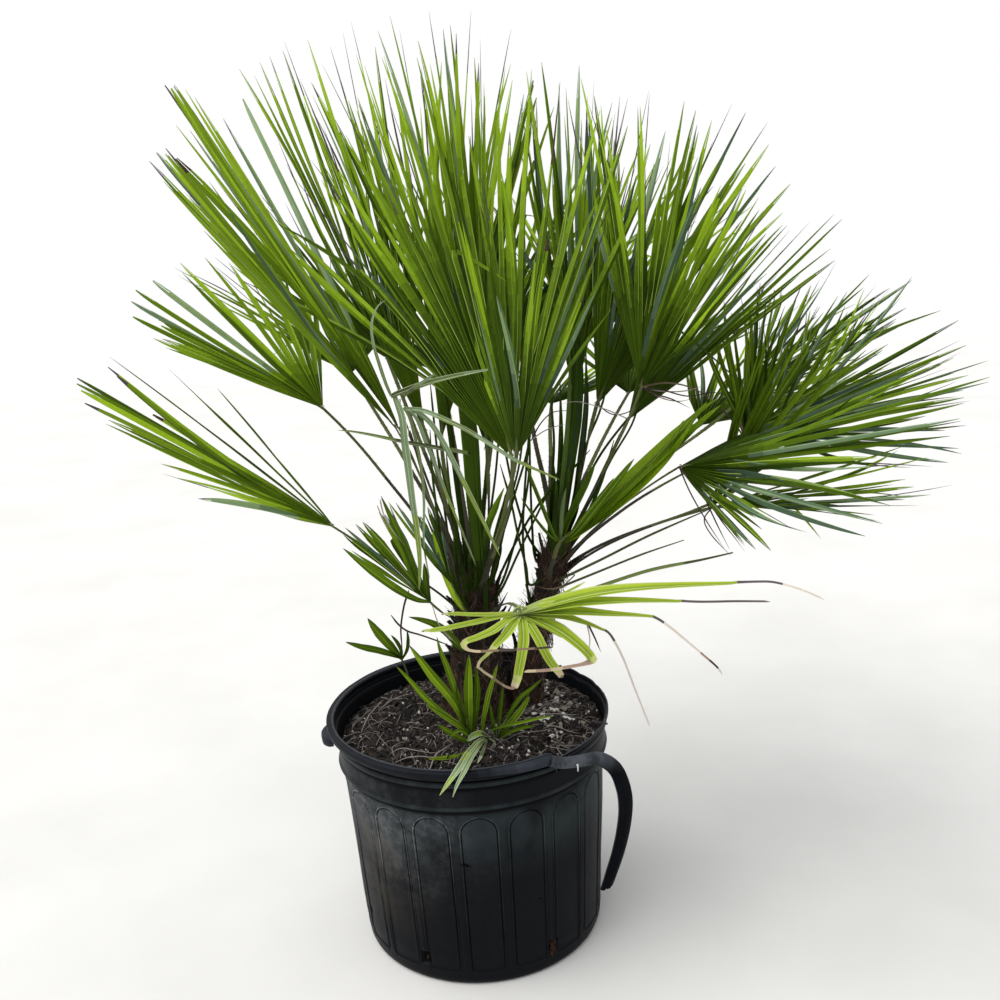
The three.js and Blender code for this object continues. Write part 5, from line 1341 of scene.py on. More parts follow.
def build_trunk(key, node_name, seed, stubs, strands):
    g = np.random.default_rng(seed)
    # core: matted fibre in relief, leaf bases showing as ridges
    rows, cols = 120, 150
    u = np.linspace(0, 1, rows)
    c, r = trunk_axis(key, u)
    w = np.linspace(0, 2 * math.pi, cols, endpoint=False)
    dirs = np.stack([np.cos(w), np.sin(w), 0 * w], -1)
    pts = c[:, None] + dirs[None] * (r * 0.90)[:, None, None]
    stretched = pts * np.array([1, 1, 0.22])
    rough = fnoise(stretched, 55.0, 3) * 0.0036 + fnoise(stretched, 190.0, 2) * 0.0014
    turn = w[None, :] * 3 + u[:, None] * 16
    boots = 0.0026 * np.abs(np.sin(turn)) ** 2 * np.sin(u[:, None] * 38 + w[None, :] * 2) ** 2
    pts = pts + dirs[None] * (rough + boots)[..., None]
    core = Soup()
    core.grid(pts, 0, close_u=True)
    cap = pts[-1]
    mid = cap.mean(0) + UP * 0.004
    rings = [cap * (1 - k) + mid * k + UP * 0.004 * k for k in (0.0, 0.35, 0.7, 0.98)]
    core.grid(np.stack(rings), 0, close_u=True)
    core.make("trunk_core_" + key, [bark_core], [node_name])

    # old leaf bases: broad wedges that hug the trunk, some cut, some broken to points
    st = Soup()
    golden = 2.39996
    for k in range(stubs):
        v = (k + 0.5) / stubs
        a = k * golden + g.normal(0, 0.12)
        uu = 0.03 + 0.93 * v
        cc, rr = trunk_axis(key, uu)
        out = np.array([math.cos(a), math.sin(a), 0.0])
        tang = np.array([-math.sin(a), math.cos(a), 0.0])
        ln = g.uniform(0.024, 0.052) * (1.0 if v > 0.25 else 0.7)
        wide = g.uniform(0.011, 0.017) * (rr / 0.04) ** 0.5
        lean = g.uniform(0.22, 0.55) * (1.0 if key == "left" else 0.55)
        n = 8
        path = np.stack([cc + out * (rr * 0.84 + 0.001 + lean * ln * q ** 1.5) + UP * (ln * q - 0.006) + tang * g.normal(0, 0.002) * q
                         for q in np.linspace(0, 1, n)])
        ww = wide * np.interp(np.linspace(0, 1, n), [0, 0.35, 0.8, 1.0], [1.0, 0.72, 0.40, 0.34 if g.random() < 0.6 else 0.08])
        th = 0.0042 * np.interp(np.linspace(0, 1, n), [0, 0.5, 1], [1.0, 0.8, 0.6])
        m = 9
        x = np.linspace(-1, 1, m)
        t = unit(np.gradient(path, axis=0))
        nn = unit(np.cross(tang, t))
        bow = (1 - x ** 2)
        front = path[:, None] + tang[None, None] * (ww[:, None] * x[None])[..., None] + nn[:, None] * ((bow[None] * 0.5 + 0.1) * th[:, None])[..., None] - out * (np.abs(x) ** 2)[None, :, None] * ww[:, None, None] * 0.35
        back = path[:, None] + tang[None, None] * (ww[:, None] * x[None])[..., None] - nn[:, None] * (0.25 * th[:, None])[..., None] - out * (np.abs(x) ** 2)[None, :, None] * ww[:, None, None] * 0.35
        ring = np.concatenate([front, back[:, ::-1]], 1)
        ring = ring + fnoise(ring, 300.0, 2)[..., None] * 0.0005
        skin = 2 if g.random() < 0.6 or v < 0.4 else 0
        st.grid(ring, skin, close_u=True)
        kk = 2 * m
        st.put(ring[-1], [(j, j + 1, kk - 2 - j, kk - 1 - j) for j in range(m - 1)], 1)
    st.make("trunk_stubs_" + key, stub_mats, [node_name])

    # loose and matted fibres
    fb = Soup()
    for _ in range(strands):
        uu = g.uniform(0.0, 1.0)
        cc, rr = trunk_axis(key, uu)
        a = g.uniform(0, 2 * math.pi)
        out = np.array([math.cos(a), math.sin(a), 0.0])
        tang = np.array([-math.sin(a), math.cos(a), 0.0])
        loose = g.random() < (0.16 if key == "left" else 0.10)
        ln = g.uniform(0.014, 0.045)
        slant = g.choice([-1, 1]) * abs(g.normal(0.5, 0.35))
        n = 6
        pts = []
        start = rr * 0.90 + g.uniform(0.000, 0.0045)
        for j in range(n):
            q = j / (n - 1)
            lift = (g.uniform(0.006, 0.016) * q ** 2) if loose else 0.0008 * math.sin(q * 6)
            pts.append(cc + out * (start + lift) + tang * (slant * ln * (q - 0.5) + 0.0006 * math.sin(q * 9 + a)) + UP * (ln * (q - 0.5)))
        pts = np.array(pts)
        pts[:, 2] = np.maximum(pts[:, 2], 0.3475)
        high = uu > 0.55
        mat = int(g.choice(4, p=([0.40, 0.34, 0.18, 0.08] if key == "left" else [0.22, 0.34, 0.32, 0.12]) if high else [0.12, 0.34, 0.32, 0.22]))
        tube(fb, pts, g.uniform(0.00025, 0.0007) * np.linspace(1, 0.4, n), sides=4, mat=mat, squash=0.7)
    fb.make("trunk_fibres_" + key, bark_mats, [node_name])


build_trunk("left", "trunk_left", 11, 46, 1700)
build_trunk("right", "trunk_right", 12, 28, 1100)


# ------------------------------------------------------------------ young stalks, spears and sheaths above the trunks
def spear(soup, path, half, tones, seed, thick=0.42, ridges=5, tip=True, shade=None, facing=None):
    """A folded young leaf: pleats pressed together, broadest above its middle, drawn out to a point."""
    g = np.random.default_rng(seed)
    n = len(path)
    t = unit(np.gradient(path, axis=0))
    f = unit(np.array([0.15, -1.0, 0.1]) if facing is None else np.asarray(facing, float))
    nn = unit(f - t * (t @ f)[:, None])
    s = np.cross(nn, t)
    m = ridges * 4
    x = np.linspace(-1, 1, ridges * 2 + 1)
    zig = np.where(np.arange(len(x)) % 2 == 0, -1.0, 1.0) * 0.5
    body = np.sqrt(np.clip(1 - x ** 2, 0, 1))
    front = body * thick + zig * 0.16
    back = -body * thick + zig * 0.10
    twist = np.linspace(0, g.normal(0, 0.4), n)
    ca, sa = np.cos(twist)[:, None], np.sin(twist)[:, None]
    A = s * ca + nn * sa
    N = -s * sa + nn * ca
    half = np.asarray(half)
    front_p = path[:, None] + A[:, None] * (half[:, None] * x[None])[..., None] + N[:, None] * (half[:, None] * front[None])[..., None]
    back_p = path[:, None] + A[:, None] * (half[:, None] * x[None])[..., None] + N[:, None] * (half[:, None] * back[None])[..., None]
    cols = len(x) - 1
    run = [int(g.choice(tones)) for _ in range(cols)]
    mat = np.array([run for _ in range(n - 1)])
    # the lower part, up to the share given, is painted with shade
    if shade is not None:
        low = np.arange(n - 1) / (n - 1) < shade
        mat[low] = np.where(g.random(cols) < 0.45, LEAF.index("shade"), GREEN0 + 9)[None, :]
        # its own tone comes in by steps above that
        own = {"bright": 1.0, "fresh": 2.2, "mid": 4.2, "deep": 6.6, "shade": 9.2}
        first, last = int(shade * (n - 1)), int(min(shade + 0.34, 1) * (n - 1))
        for col in range(cols):
            if run[col] >= len(LEAF) or LEAF[run[col]] not in own:
                continue
            for j in range(first, last):
                mat[j, col] = green(9.6 + (own[LEAF[run[col]]] - 9.6) * (j - first) / max(last - first, 1) + g.normal(0, 0.3))
    soup.grid(front_p, mat)
    soup.grid(back_p[:, ::-1], mat[:, ::-1])


def rising(points, n=26):
    """A path through (u, v, depth) sightings."""
    return spline([seen(*p) for p in points], n)


def build_spears():
    T = {k: LEAF.index(k) for k in LEAF}
    dark = [T["shade"], T["deep"], T["deep"], T["mid"]]
    olive = [T["deep"], T["deep"], T["mid"], GREEN0 + 6]
    fresh = [T["fresh"], T["bright"], T["mid"]]
    blue = [T["shade"], T["blue"], T["deep"], T["shade"]]
    left = Soup()
    rows = [  # sightings (u, v, y), half widths (mm) at even steps, tones, how far up it is painted with shade
        ([(481, 618, -0.02), (479, 560, -0.03), (474, 500, -0.04), (470, 440, -0.04), (462, 380, -0.02), (455, 330, 0.0)], (7, 9, 11, 12.5, 10, 1), olive, 0.2),
        ([(474, 618, 0.0), (467, 560, -0.01), (459, 500, -0.01), (452, 445, 0.0), (444, 392, 0.02), (436, 330, 0.04)], (3.6, 3.8, 4.0, 4.2, 3.6, 0.8), dark, 0.5),
        ([(486, 610, -0.03), (485, 560, -0.05), (487, 530, -0.06), (495, 508, -0.065), (504, 488, -0.07)], (3.5, 3.5, 5.2, 5.0, 0.6), fresh, 0.3),
        ([(468, 612, -0.03), (458, 590, -0.05), (448, 572, -0.06), (437, 554, -0.065)], (2.5, 3.5, 6.5, 4.6), fresh, 0.45),
        ([(462, 612, -0.02), (457, 570, -0.035), (455, 540, -0.04), (455, 511, -0.04)], (2.6, 3.2, 2.8, 0.5), olive, 0.4),
        ([(472, 612, 0.01), (462, 560, 0.02), (450, 505, 0.03), (437, 450, 0.03)], (2.6, 2.6, 2.6, 0.7), dark, 0.6),
        ([(478, 615, 0.01), (480, 560, 0.03), (484, 500, 0.05), (489, 440, 0.07), (493, 380, 0.09)], (2.8, 2.6, 2.6, 2.6, 0.8), olive, 0.5),
        ([(488, 615, 0.0), (494, 570, 0.0), (499, 530, 0.0), (505, 495, 0.01)], (2.6, 2.8, 2.6, 0.8), dark, 0.5),
        ([(470, 616, 0.03), (456, 580, 0.05), (440, 548, 0.07), (424, 512, 0.08)], (3.0, 3.4, 3.6, 0.6), dark, 0.4),
        ([(476, 616, 0.03), (474, 540, 0.07), (470, 470, 0.11), (462, 400, 0.14), (455, 340, 0.15)], (3.0, 3.2, 3.6, 3.6, 0.8), olive, 0.35),
    ]
    for k, (pts, half, tones, shade) in enumerate(rows):
        path = rising(pts)
        h = np.interp(np.linspace(0, len(half) - 1, len(path)), np.arange(len(half)), half) * MM
        if half[-1] > 2:  # broken off square
            h = h * 1.0
        spear(left, path, h, tones, 60 + k, shade=shade)
    # stalks of young leaves, crossing in the gap between the trunks
    g = np.random.default_rng(23)
    for k, pts in enumerate((
            [(484, 606, 0.0), (500, 592, -0.02), (517, 556, -0.02), (533, 523, -0.01), (553, 482, 0.0), (580, 425, 0.02)],
            [(486, 608, 0.02), (494, 575, 0.03), (503, 535, 0.05), (512, 495, 0.07), (520, 460, 0.09), (527, 400, 0.12)],
            [(479, 608, 0.02), (486, 560, 0.04), (491, 510, 0.06), (496, 470, 0.08), (500, 420, 0.10)],
            [(466, 608, 0.0), (448, 570, 0.02), (436, 520, 0.03), (424, 480, 0.04), (410, 430, 0.06)],
            [(464, 608, 0.02), (452, 560, 0.05), (444, 505, 0.08), (436, 440, 0.11), (430, 380, 0.13)],
            [(480, 608, -0.02), (488, 566, -0.03), (496, 530, -0.02), (506, 496, 0.0), (514, 470, 0.02), (524, 420, 0.04)],
            [(486, 606, 0.02), (494, 588, 0.02), (518, 538, 0.01), (542, 500, 0.01), (566, 476, 0.03), (590, 450, 0.04)],
            [(484, 606, 0.03), (487, 576, 0.03), (505, 527, 0.04), (516, 490, 0.05), (527, 452, 0.06), (534, 408, 0.08)],
            [(490, 604, 0.0), (503, 580, 0.0), (512, 552, 0.0), (522, 516, 0.0), (529, 474, 0.01), (530, 430, 0.03)],
            [(466, 606, -0.02), (452, 580, -0.04), (443, 548, -0.05), (437, 512, -0.05), (432, 470, -0.04), (430, 430, -0.02)],
            [(470, 606, -0.02), (462, 570, -0.04), (456, 530, -0.05), (450, 490, -0.05), (446, 450, -0.04)])):
        path = rising(pts, 30)
        half = np.interp(np.linspace(0, 1, 30), [0, 0.15, 0.9, 1], [3.0, 2.1, 1.7, 0.5]) * MM
        spear(left, path, half, [T["shade"], T["deep"]], 330 + k, shade=float(g.uniform(0.2, 0.7)), ridges=2, thick=0.8)
    # sheath of stalk bases round the growing point
    g = np.random.default_rng(19)
    for k in range(16):
        a = k * 2.39996
        base = np.array([0.022 + 0.020 * math.cos(a), 0.020 * math.sin(a), 0.540])
        top = np.array([0.028 + 0.040 * math.cos(a) * g.uniform(0.6, 1.1), -0.004 + 0.040 * math.sin(a) * g.uniform(0.6, 1.1), g.uniform(0.59, 0.66)])
        path = bezier(base, base + UP * 0.03, top - UP * 0.03, top, 16)
        spear(left, path, np.interp(np.linspace(0, 1, 16), [0, 0.4, 0.85, 1], [6.0, 4.0, 2.2, 0.5]) * MM, dark, 200 + k, shade=0.8, ridges=3,
              facing=[math.cos(a), math.sin(a), 0.1])
    left.make("sheath_spears_left", leaf_mats, ["stalk_sheath_left"])

    right = Soup()
    rows = [
        ([(559, 556, 0.0), (563, 515, 0.0), (569, 465, 0.0), (575, 420, 0.01), (578, 370, 0.02), (574, 310, 0.03)], (6, 7.5, 10.5, 12, 10, 1), blue, 0.1),
        ([(556, 556, -0.01), (560, 505, -0.012), (565, 455, -0.012), (569, 405, 0.0), (570, 350, 0.0)], (2.6, 3.2, 3.6, 3.4, 0.6), [T["glaucous"], T["mid"]], 0.0),
        ([(563, 552, 0.02), (574, 505, 0.03), (581, 455, 0.04), (586, 405, 0.05), (586, 350, 0.06)], (3.4, 4.2, 5.0, 4.6, 0.8), blue, 0.3),
        ([(556, 556, 0.02), (558, 500, 0.05), (561, 440, 0.07), (560, 380, 0.09)], (4, 4.5, 4.5, 0.7), olive, 0.4),
        ([(565, 556, 0.01), (585, 520, 0.0), (602, 480, -0.01), (614, 440, -0.01)], (2.6, 3.0, 2.8, 0.6), olive, 0.3),
    ]
    for k, (pts, half, tones, shade) in enumerate(rows):
        path = rising(pts)
        h = np.interp(np.linspace(0, len(half) - 1, len(path)), np.arange(len(half)), half) * MM
        spear(right, path, h, tones, 90 + k, shade=shade)
    for k, pts in enumerate((
            [(549, 575, 0.0), (530, 585, -0.01), (526, 566, -0.015), (518, 535, -0.01), (511, 502, 0.0), (500, 464, 0.01)],
            [(552, 566, 0.01), (536, 560, 0.02), (532, 523, 0.03), (530, 464, 0.04), (528, 400, 0.06)],
            [(556, 556, 0.01), (552, 495, 0.02), (554, 444, 0.03), (552, 411, 0.04), (549, 350, 0.06)],
            [(560, 556, 0.02), (566, 500, 0.05), (571, 440, 0.08), (574, 370, 0.11)],
            [(562, 556, 0.0), (576, 505, 0.02), (599, 457, 0.03), (630, 416, 0.05), (650, 395, 0.06)],
            [(562, 556, 0.02), (574, 495, 0.04), (586, 446, 0.05), (598, 416, 0.06), (606, 392, 0.07)],
            [(537, 632, 0.02), (530, 606, 0.01), (526, 575, 0.01), (523, 540, 0.01), (524, 500, 0.02), (528, 447, 0.03), (531, 408, 0.05)],
            [(550, 572, 0.02), (541, 556, 0.02), (528, 536, 0.02), (516, 500, 0.03), (507, 460, 0.05), (500, 420, 0.06)],
            [(560, 558, -0.01), (580, 520, -0.02), (598, 486, -0.02), (612, 458, -0.02), (632, 424, 0.0), (640, 396, 0.0)])):
        path = rising(pts, 30)
        half = np.interp(np.linspace(0, 1, 30), [0, 0.15, 0.9, 1], [2.8, 2.0, 1.7, 0.5]) * MM
        spear(right, path, half, [T["shade"], T["deep"]], 350 + k, shade=float(g.uniform(0.2, 0.7)), ridges=2, thick=0.8)
    for k in range(14):
        a = k * 2.39996
        base = np.array([0.148 + 0.012 * math.cos(a), 0.012 * math.sin(a), 0.606])
        top = np.array([0.162 + 0.026 * math.cos(a) * g.uniform(0.6, 1.1), 0.026 * math.sin(a) * g.uniform(0.6, 1.1), g.uniform(0.66, 0.74)])
        path = bezier(base, base + UP * 0.03, top - UP * 0.03, top, 16)
        spear(right, path, np.interp(np.linspace(0, 1, 16), [0, 0.4, 0.85, 1], [5.5, 4.6, 3.0, 0.7]) * MM, dark, 260 + k, shade=0.6, ridges=3,
              facing=[math.cos(a), math.sin(a), 0.1])
    right.make("sheath_spears_right", leaf_mats, ["stalk_sheath_right"])


build_spears()


# ------------------------------------------------------------------ pot
PANELS, PANEL_FIRST, PANEL_HALF = 18, -88.0, 7.3  # arched panels round the wall, in degrees
TEAR_START, TEAR_END = -57.0, 62.0  # the rim has lost its rolled lip between these
DRAIN_FIRST, DRAIN_HALF, DRAIN_Z = -57.0, 2.4, (28.0, 52.0)

pot_wall = pot_material("pot_wall", (0.0030, 0.0035, 0.0050, 1), (0.078, 0.083, 0.090, 1), (0.021, 0.030, 0.032, 1), dusty=0.86, banded=True)
pot_lip_m = pot_material("pot_lip", (0.0040, 0.0050, 0.0078, 1), (0.034, 0.038, 0.047, 1), (0.020, 0.026, 0.036, 1), dusty=0.45)
# lighter steps of the lip colour for the flared stretch before the tear: painted light
lip_flare_highlight = [pot_material("pot_lip_flare_%d" % k, (0.0040 + 0.0018 * k, 0.0050 + 0.0021 * k, 0.0078 + 0.0029 * k, 1), (0.060, 0.068, 0.082, 1), (0.040, 0.046, 0.058, 1),
                          dusty=0.5, top_highlight=0.11 * k) for k in (1, 2, 3, 4)]
# near-black for the panel grooves: painted shade
pot_groove_shade = pot_material("pot_groove_shade", (0.0012, 0.0013, 0.0018, 1), (0.010, 0.011, 0.013, 1), (0.004, 0.005, 0.006, 1), dusty=0.4)
# pale dust along the panel rims, partly a painted highlight
pot_ridge_dust_highlight = pot_material("pot_ridge_dust_highlight", (0.0038, 0.0044, 0.0060, 1), (0.150, 0.156, 0.160, 1), (0.044, 0.058, 0.062, 1), dusty=1.25)
strip_m = pot_material("torn_strip_skin", (0.0030, 0.0036, 0.0050, 1), (0.012, 0.014, 0.017, 1), (0.0050, 0.0062, 0.0078, 1), dusty=0.3)
# the top of the strip is painted pale as a highlight
strip_top = pot_material("torn_strip_top", (0.0024, 0.0029, 0.0042, 1), (0.095, 0.104, 0.122, 1), (0.004, 0.005, 0.007, 1), dusty=0.4, top_highlight=0.95, spec=0.02)
# a pale colour for top edges, ledges, torn ends and shreds: a painted highlight
pot_edge_highlight = pot_material("pot_edge_highlight", (0.030, 0.034, 0.042, 1), (0.12, 0.12, 0.12, 1), (0.06, 0.066, 0.075, 1), rough=(0.5, 0.75))
pot_dark = pot_material("pot_inside", (0.0030, 0.0036, 0.0048, 1), (0.022, 0.024, 0.027, 1), (0.012, 0.016, 0.021, 1), rough=(0.42, 0.7), dusty=0.3)
pot_void = solid_material("drain_mix", (0.003, 0.0022, 0.0018, 1), rough=0.95, vary=0.4, scale=300.0, spec=0.1)
root_m = fibre_material("root_brown", [(0.25, (0.014, 0.006, 0.0035, 1)), (0.55, (0.040, 0.016, 0.009, 1)), (0.85, (0.11, 0.065, 0.035, 1))], scale=(120, 120, 40))
# the lug's lighter blue-grey colour is a painted sky reflection, with dust and film as on the wall
lug_reflection_m = pot_material("pot_lug", (0.012, 0.015, 0.021, 1), (0.075, 0.085, 0.10, 1), (0.05, 0.058, 0.075, 1), rough=(0.45, 0.7), dusty=0.5)

OUTER = table([0, 1.0, 3.0, 8, 44, 286, 292.0, 295.0, 297.0, 299.0, 301.5, 304.0, 306, 328, 331.0, 333.0, 335.0, 337.0, 341.0, 345.0, 347.0, 349.0, 350.5, 352, 356.5],
              [180.5, 182.5, 184.6, 187, 191, 203, 202.6, 201.0, 203.8, 207.9, 209.4, 208.2, 206.7, 206.9, 206.4, 204.2, 207.2, 210.2, 211.3, 210.4, 206.6, 211.3, 213.6, 214, 214])


def round_pot(r, w):
    return np.stack([r * np.cos(w), r * np.sin(w)], -1)


def panel_offsets():
    pos = [0.0, 2.4, 4.4, 5.8, 6.4, 6.7, 6.9, 7.05, 7.2, 7.35, 7.5, 7.65, 7.8, 8.05, 8.3, 8.45, 8.6, 8.8, 9.35]
    return sorted([-p for p in pos if p] + pos)


def wall_relief(ang, z, R, with_edge=False):
    """How far the wall stands in or out (mm) at angle (degrees) and height (mm)."""
    off = (ang - PANEL_FIRST + 10.0) % 20.0 - 10.0
    scale = math.pi / 180 * R
    x = off * scale
    half = PANEL_HALF * scale
    arch = 258.0
    up = np.sqrt(x ** 2 + (z - arch) ** 2) - half
    side = np.abs(x) - half
    low = 25.0
    corner = 6.0
    dx, dz = np.abs(x) - (half - corner), (low + corner) - z
    foot = np.where((dx > 0) & (dz > 0), np.hypot(dx, dz) - corner, np.maximum(side, low - z))
    sd = np.where(z > arch, up, foot)
    groove = -1.9 * np.exp(-(sd / 0.95) ** 2) - 0.9 * np.exp(-((sd - 4.1) / 0.8) ** 2) + 0.5 * np.exp(-((sd - 2.1) / 0.9) ** 2)
    inside = -0.7 * smooth(-sd, 0.5, 4.0)
    return (groove + inside, sd) if with_edge else groove + inside


DENTS = [  # angle, height, half width, half height, depth (mm), lean
    (-94.4, 207.0, 7.5, 3.6, 4.6, 0.35), (-92.0, 171.0, 3.0, 9.0, 1.8, 0.2), (-91.5, 157.0, 5.0, 4.5, 2.8, -0.3),
    (-63.5, 129.6, 3.4, 4.2, 3.0, 0.4), (-44.3, 78.4, 2.6, 3.8, 2.6, 0.2), (-154.1, 70.0, 3.5, 4.0, 2.4, -0.4),
    (-108.0, 62.0, 9.0, 2.2, 1.2, -0.2), (-72.0, 188.0, 14.0, 18.0, 1.6, 0.1), (-101.0, 120.0, 20.0, 16.0, 1.4, 0.0),
    (118.0, 150.0, 16.0, 10.0, 2.0, 0.3), (30.0, 100.0, 8.0, 5.0, 2.2, 0.2), (72.0, 210.0, 18.0, 12.0, 1.8, -0.2),
]


def dented(ang, z, R):
    out = np.zeros(np.broadcast(ang, z).shape)
    for a, h, hw, hh, deep, lean in DENTS:
        dx = ((ang - a + 180) % 360 - 180) * math.pi / 180 * R
        dz = z - h + dx * lean
        out = out - deep * np.exp(-((dx / hw) ** 2 + (dz / hh) ** 2) ** 1.6)
    return out


def in_drain(ang, z):
    off = (ang - DRAIN_FIRST + 30.0) % 60.0 - 30.0
    dx = np.abs(off) * math.pi / 180 * 190.0 - 8.0 + 3.0
    mid = sum(DRAIN_Z) / 2
    dz = np.abs(z - mid) - (DRAIN_Z[1] - mid) + 3.0
    sd = np.where((dx > 0) & (dz > 0), np.hypot(dx, dz) - 3.0, np.maximum(dx, dz) - 3.0)
    return sd < 0.2


def torn_edge(ang):
    """Height lost (mm) from the top of the wall, where the lip was torn away."""
    a = (ang + 180) % 360 - 180
    torn = smooth(a, TEAR_START - 1, TEAR_START + 2) * (1 - smooth(a, TEAR_END - 2, TEAR_END + 1))
    w = np.radians(a)
    p = np.stack([np.cos(w), np.sin(w), w * 0], -1)
    ragged = np.abs(vnoise(p, 9.0)) * 2.2 + np.abs(vnoise(p, 40.0)) * 1.3 + np.where(vnoise(p, 23.0) > 0.45, 1.6, 0.0)
    return torn * (0.4 + ragged)


def build_pot():
    offs = panel_offsets()
    ang = np.array(sorted((PANEL_FIRST + 20.0 * k + o) for k in range(PANELS) for o in offs))
    z = np.concatenate([[0, 1.0, 3.0, 6, 9, 13, 18, 22], [23.5, 24.6, 25.6, 26.6], [27.8, 28.2, 30, 34, 40, 46, 50, 51.8, 52.2, 56],
                        [63, 70, 77, 81, 88, 96, 104, 112, 120, 126, 129, 132, 135, 142, 149, 153, 157, 161, 166, 171, 176, 182, 190, 197, 201, 204, 207, 210, 214, 221, 229, 238, 246], [252, 256, 260, 264, 268, 271, 274, 276.5, 278.5, 280.2, 281.6, 282.5, 283.1, 283.5, 283.9, 284.3, 284.7, 285.2, 285.7, 286.3, 286.9, 287.6, 288.5, 290], [292, 293.5, 295, 296, 296.8, 297.6, 298.4, 299.2, 300.4, 301.6, 302.8, 304, 306],
                        [310, 316, 322, 328, 330, 331.5, 332.5, 333.5, 335, 336, 337, 339, 341, 343, 345, 346, 347, 348, 349, 350.2, 351.5, 353, 355, 356.5]])
    A, Z = np.meshgrid(ang, z)
    # the rows bend to follow the arched heads of the panels
    x = ((A - PANEL_FIRST + 10.0) % 20.0 - 10.0) * math.pi / 180 * 203.0
    head = PANEL_HALF * math.pi / 180 * 203.0
    Z = Z - (head - np.sqrt(np.maximum(head ** 2 - x ** 2, 0))) * np.interp(Z, [214, 276, 287.6, 292], [0, 1, 1, 0])
    R = OUTER(Z)
    on_wall = smooth(Z, 14, 22) * (1 - smooth(Z, 288, 293))
    W = np.radians(A)
    where = np.stack([R * np.cos(W), R * np.sin(W), Z], -1) * MM
    R = R + wall_relief(A, Z, R) * on_wall
    R = R + dented(A, Z, R) * smooth(Z, 10, 30) * (1 - smooth(Z, 285, 295))
    R = R + fnoise(where, 9.0, 3) * 1.1 * smooth(Z, 4, 60) * (1 - 0.5 * smooth(Z, 300, 340)) + fnoise(where, 60.0, 2) * 0.22
    R = np.minimum(R, 214.3)
    Zt = Z - torn_edge(A) * smooth(Z, 348, 356.5)
    hole = in_drain(A, Z)
    R = np.where(hole, R - 7.0, R)
    pts = np.concatenate([round_pot(R, W), Zt[..., None]], -1) * MM
    s = Soup()
    # the deepest dents are painted with the dark drain colour as shade
    dent_shaded = dented(A, Z, OUTER(Z)) < -1.9
    cell = hole[:-1] & hole[1:] & np.roll(hole, -1, 1)[:-1] & np.roll(hole, -1, 1)[1:]
    _, sd = wall_relief(A, Z, OUTER(Z), True)
    sd = (sd[:-1] + sd[1:] + np.roll(sd, -1, 1)[:-1] + np.roll(sd, -1, 1)[1:]) / 4
    zc = (Z[:-1] + Z[1:]) / 2
    # the panel grooves take a near-black colour as painted shade
    m = np.where((np.abs(sd) < 0.85) & (zc > 70) & (zc < 290), 4, 0)
    # the strip beside each groove takes a pale dusty colour: partly dust and partly a painted highlight
    m = np.where((sd > 1.3) & (sd < 3.0) & (zc > 90) & (zc < 286), 5, m)
    m = np.where(cell | (dent_shaded[:-1] & dent_shaded[1:]), 1, m)
    s.grid(pts[:, ::-1], m[:, ::-1] if False else np.roll(m[:, ::-1], -1, 1), close_u=True)
    # torn or plain top edge, then the stepped inner wall down to the mix
    top = R[-1]
    inner = [(-0.5, 0.6), (-2.4, 0.6), (-3.1, -0.4), (-3.3, -7.0), (-3.6, -8.4), (-6.6, -9.4), (-7.2, -10.4), (-7.4, -14.0), (-9.0, -21.0), (-10.2, -27.0), (-13.0, -60.0)]
    rows = [np.concatenate([round_pot(top, np.radians(ang)), Zt[-1][:, None]], -1)]
    mats = []
    for dr, dz in inner:
        rows.append(np.concatenate([round_pot(np.minimum(top, 214) + dr, np.radians(ang)), (np.minimum(Zt[-1], 357) + dz)[:, None]], -1))
        # the top and two ledges of the inner wall are painted pale as highlights
        mats.append(2 if dz > -0.1 or abs(dz + 8.4) < 0.1 or abs(dz + 9.4) < 0.1 else 3)
    s.grid(np.stack(rows)[:, ::-1] * MM, np.array(mats)[:, None], close_u=True)
    # underside
    foot = R[0]
    ring = [np.concatenate([round_pot(foot * f, np.radians(ang)), np.full((len(ang), 1), h)], -1) for f, h in
            ((1.0, 0.0), (0.97, 0.2), (0.93, 2.2), (0.80, 2.6), (0.4, 2.6), (0.02, 2.6))]
    s.grid(np.stack(ring) * MM, 0, close_u=True)
    s.make("pot_wall", [pot_wall, pot_void, pot_edge_highlight, pot_dark, pot_groove_shade, pot_ridge_dust_highlight], ["pot_shell"])

    # roots at the drain slots
    g = np.random.default_rng(77)
    rs = Soup()
    for k in range(6):
        a0 = math.radians(DRAIN_FIRST + 60 * k)
        for _ in range(26 if k == 0 else 1):
            base = np.array([math.cos(a0), math.sin(a0), 0])
            side = np.array([-math.sin(a0), math.cos(a0), 0])
            x = g.uniform(-6.5, 6.5)
            z0 = g.uniform(30, 50)
            pts = []
            for j in range(6):
                u = j / 5
                depth = 185.0 + 6.0 * math.sin(u * math.pi) * g.uniform(0.5, 1.0)
                drop = -(14 if g.random() < 0.35 and k == 0 else 5) * u
                pts.append((base * depth + side * (x + (u - 0.5) * g.uniform(-8, 8)) + UP * (z0 + drop * u + g.uniform(-1.5, 1.5))) * MM)
            tube(rs, spline(pts, 10), np.full(10, g.uniform(0.0003, 0.0009)), sides=5)
    rs.make("drain_roots", [root_m])


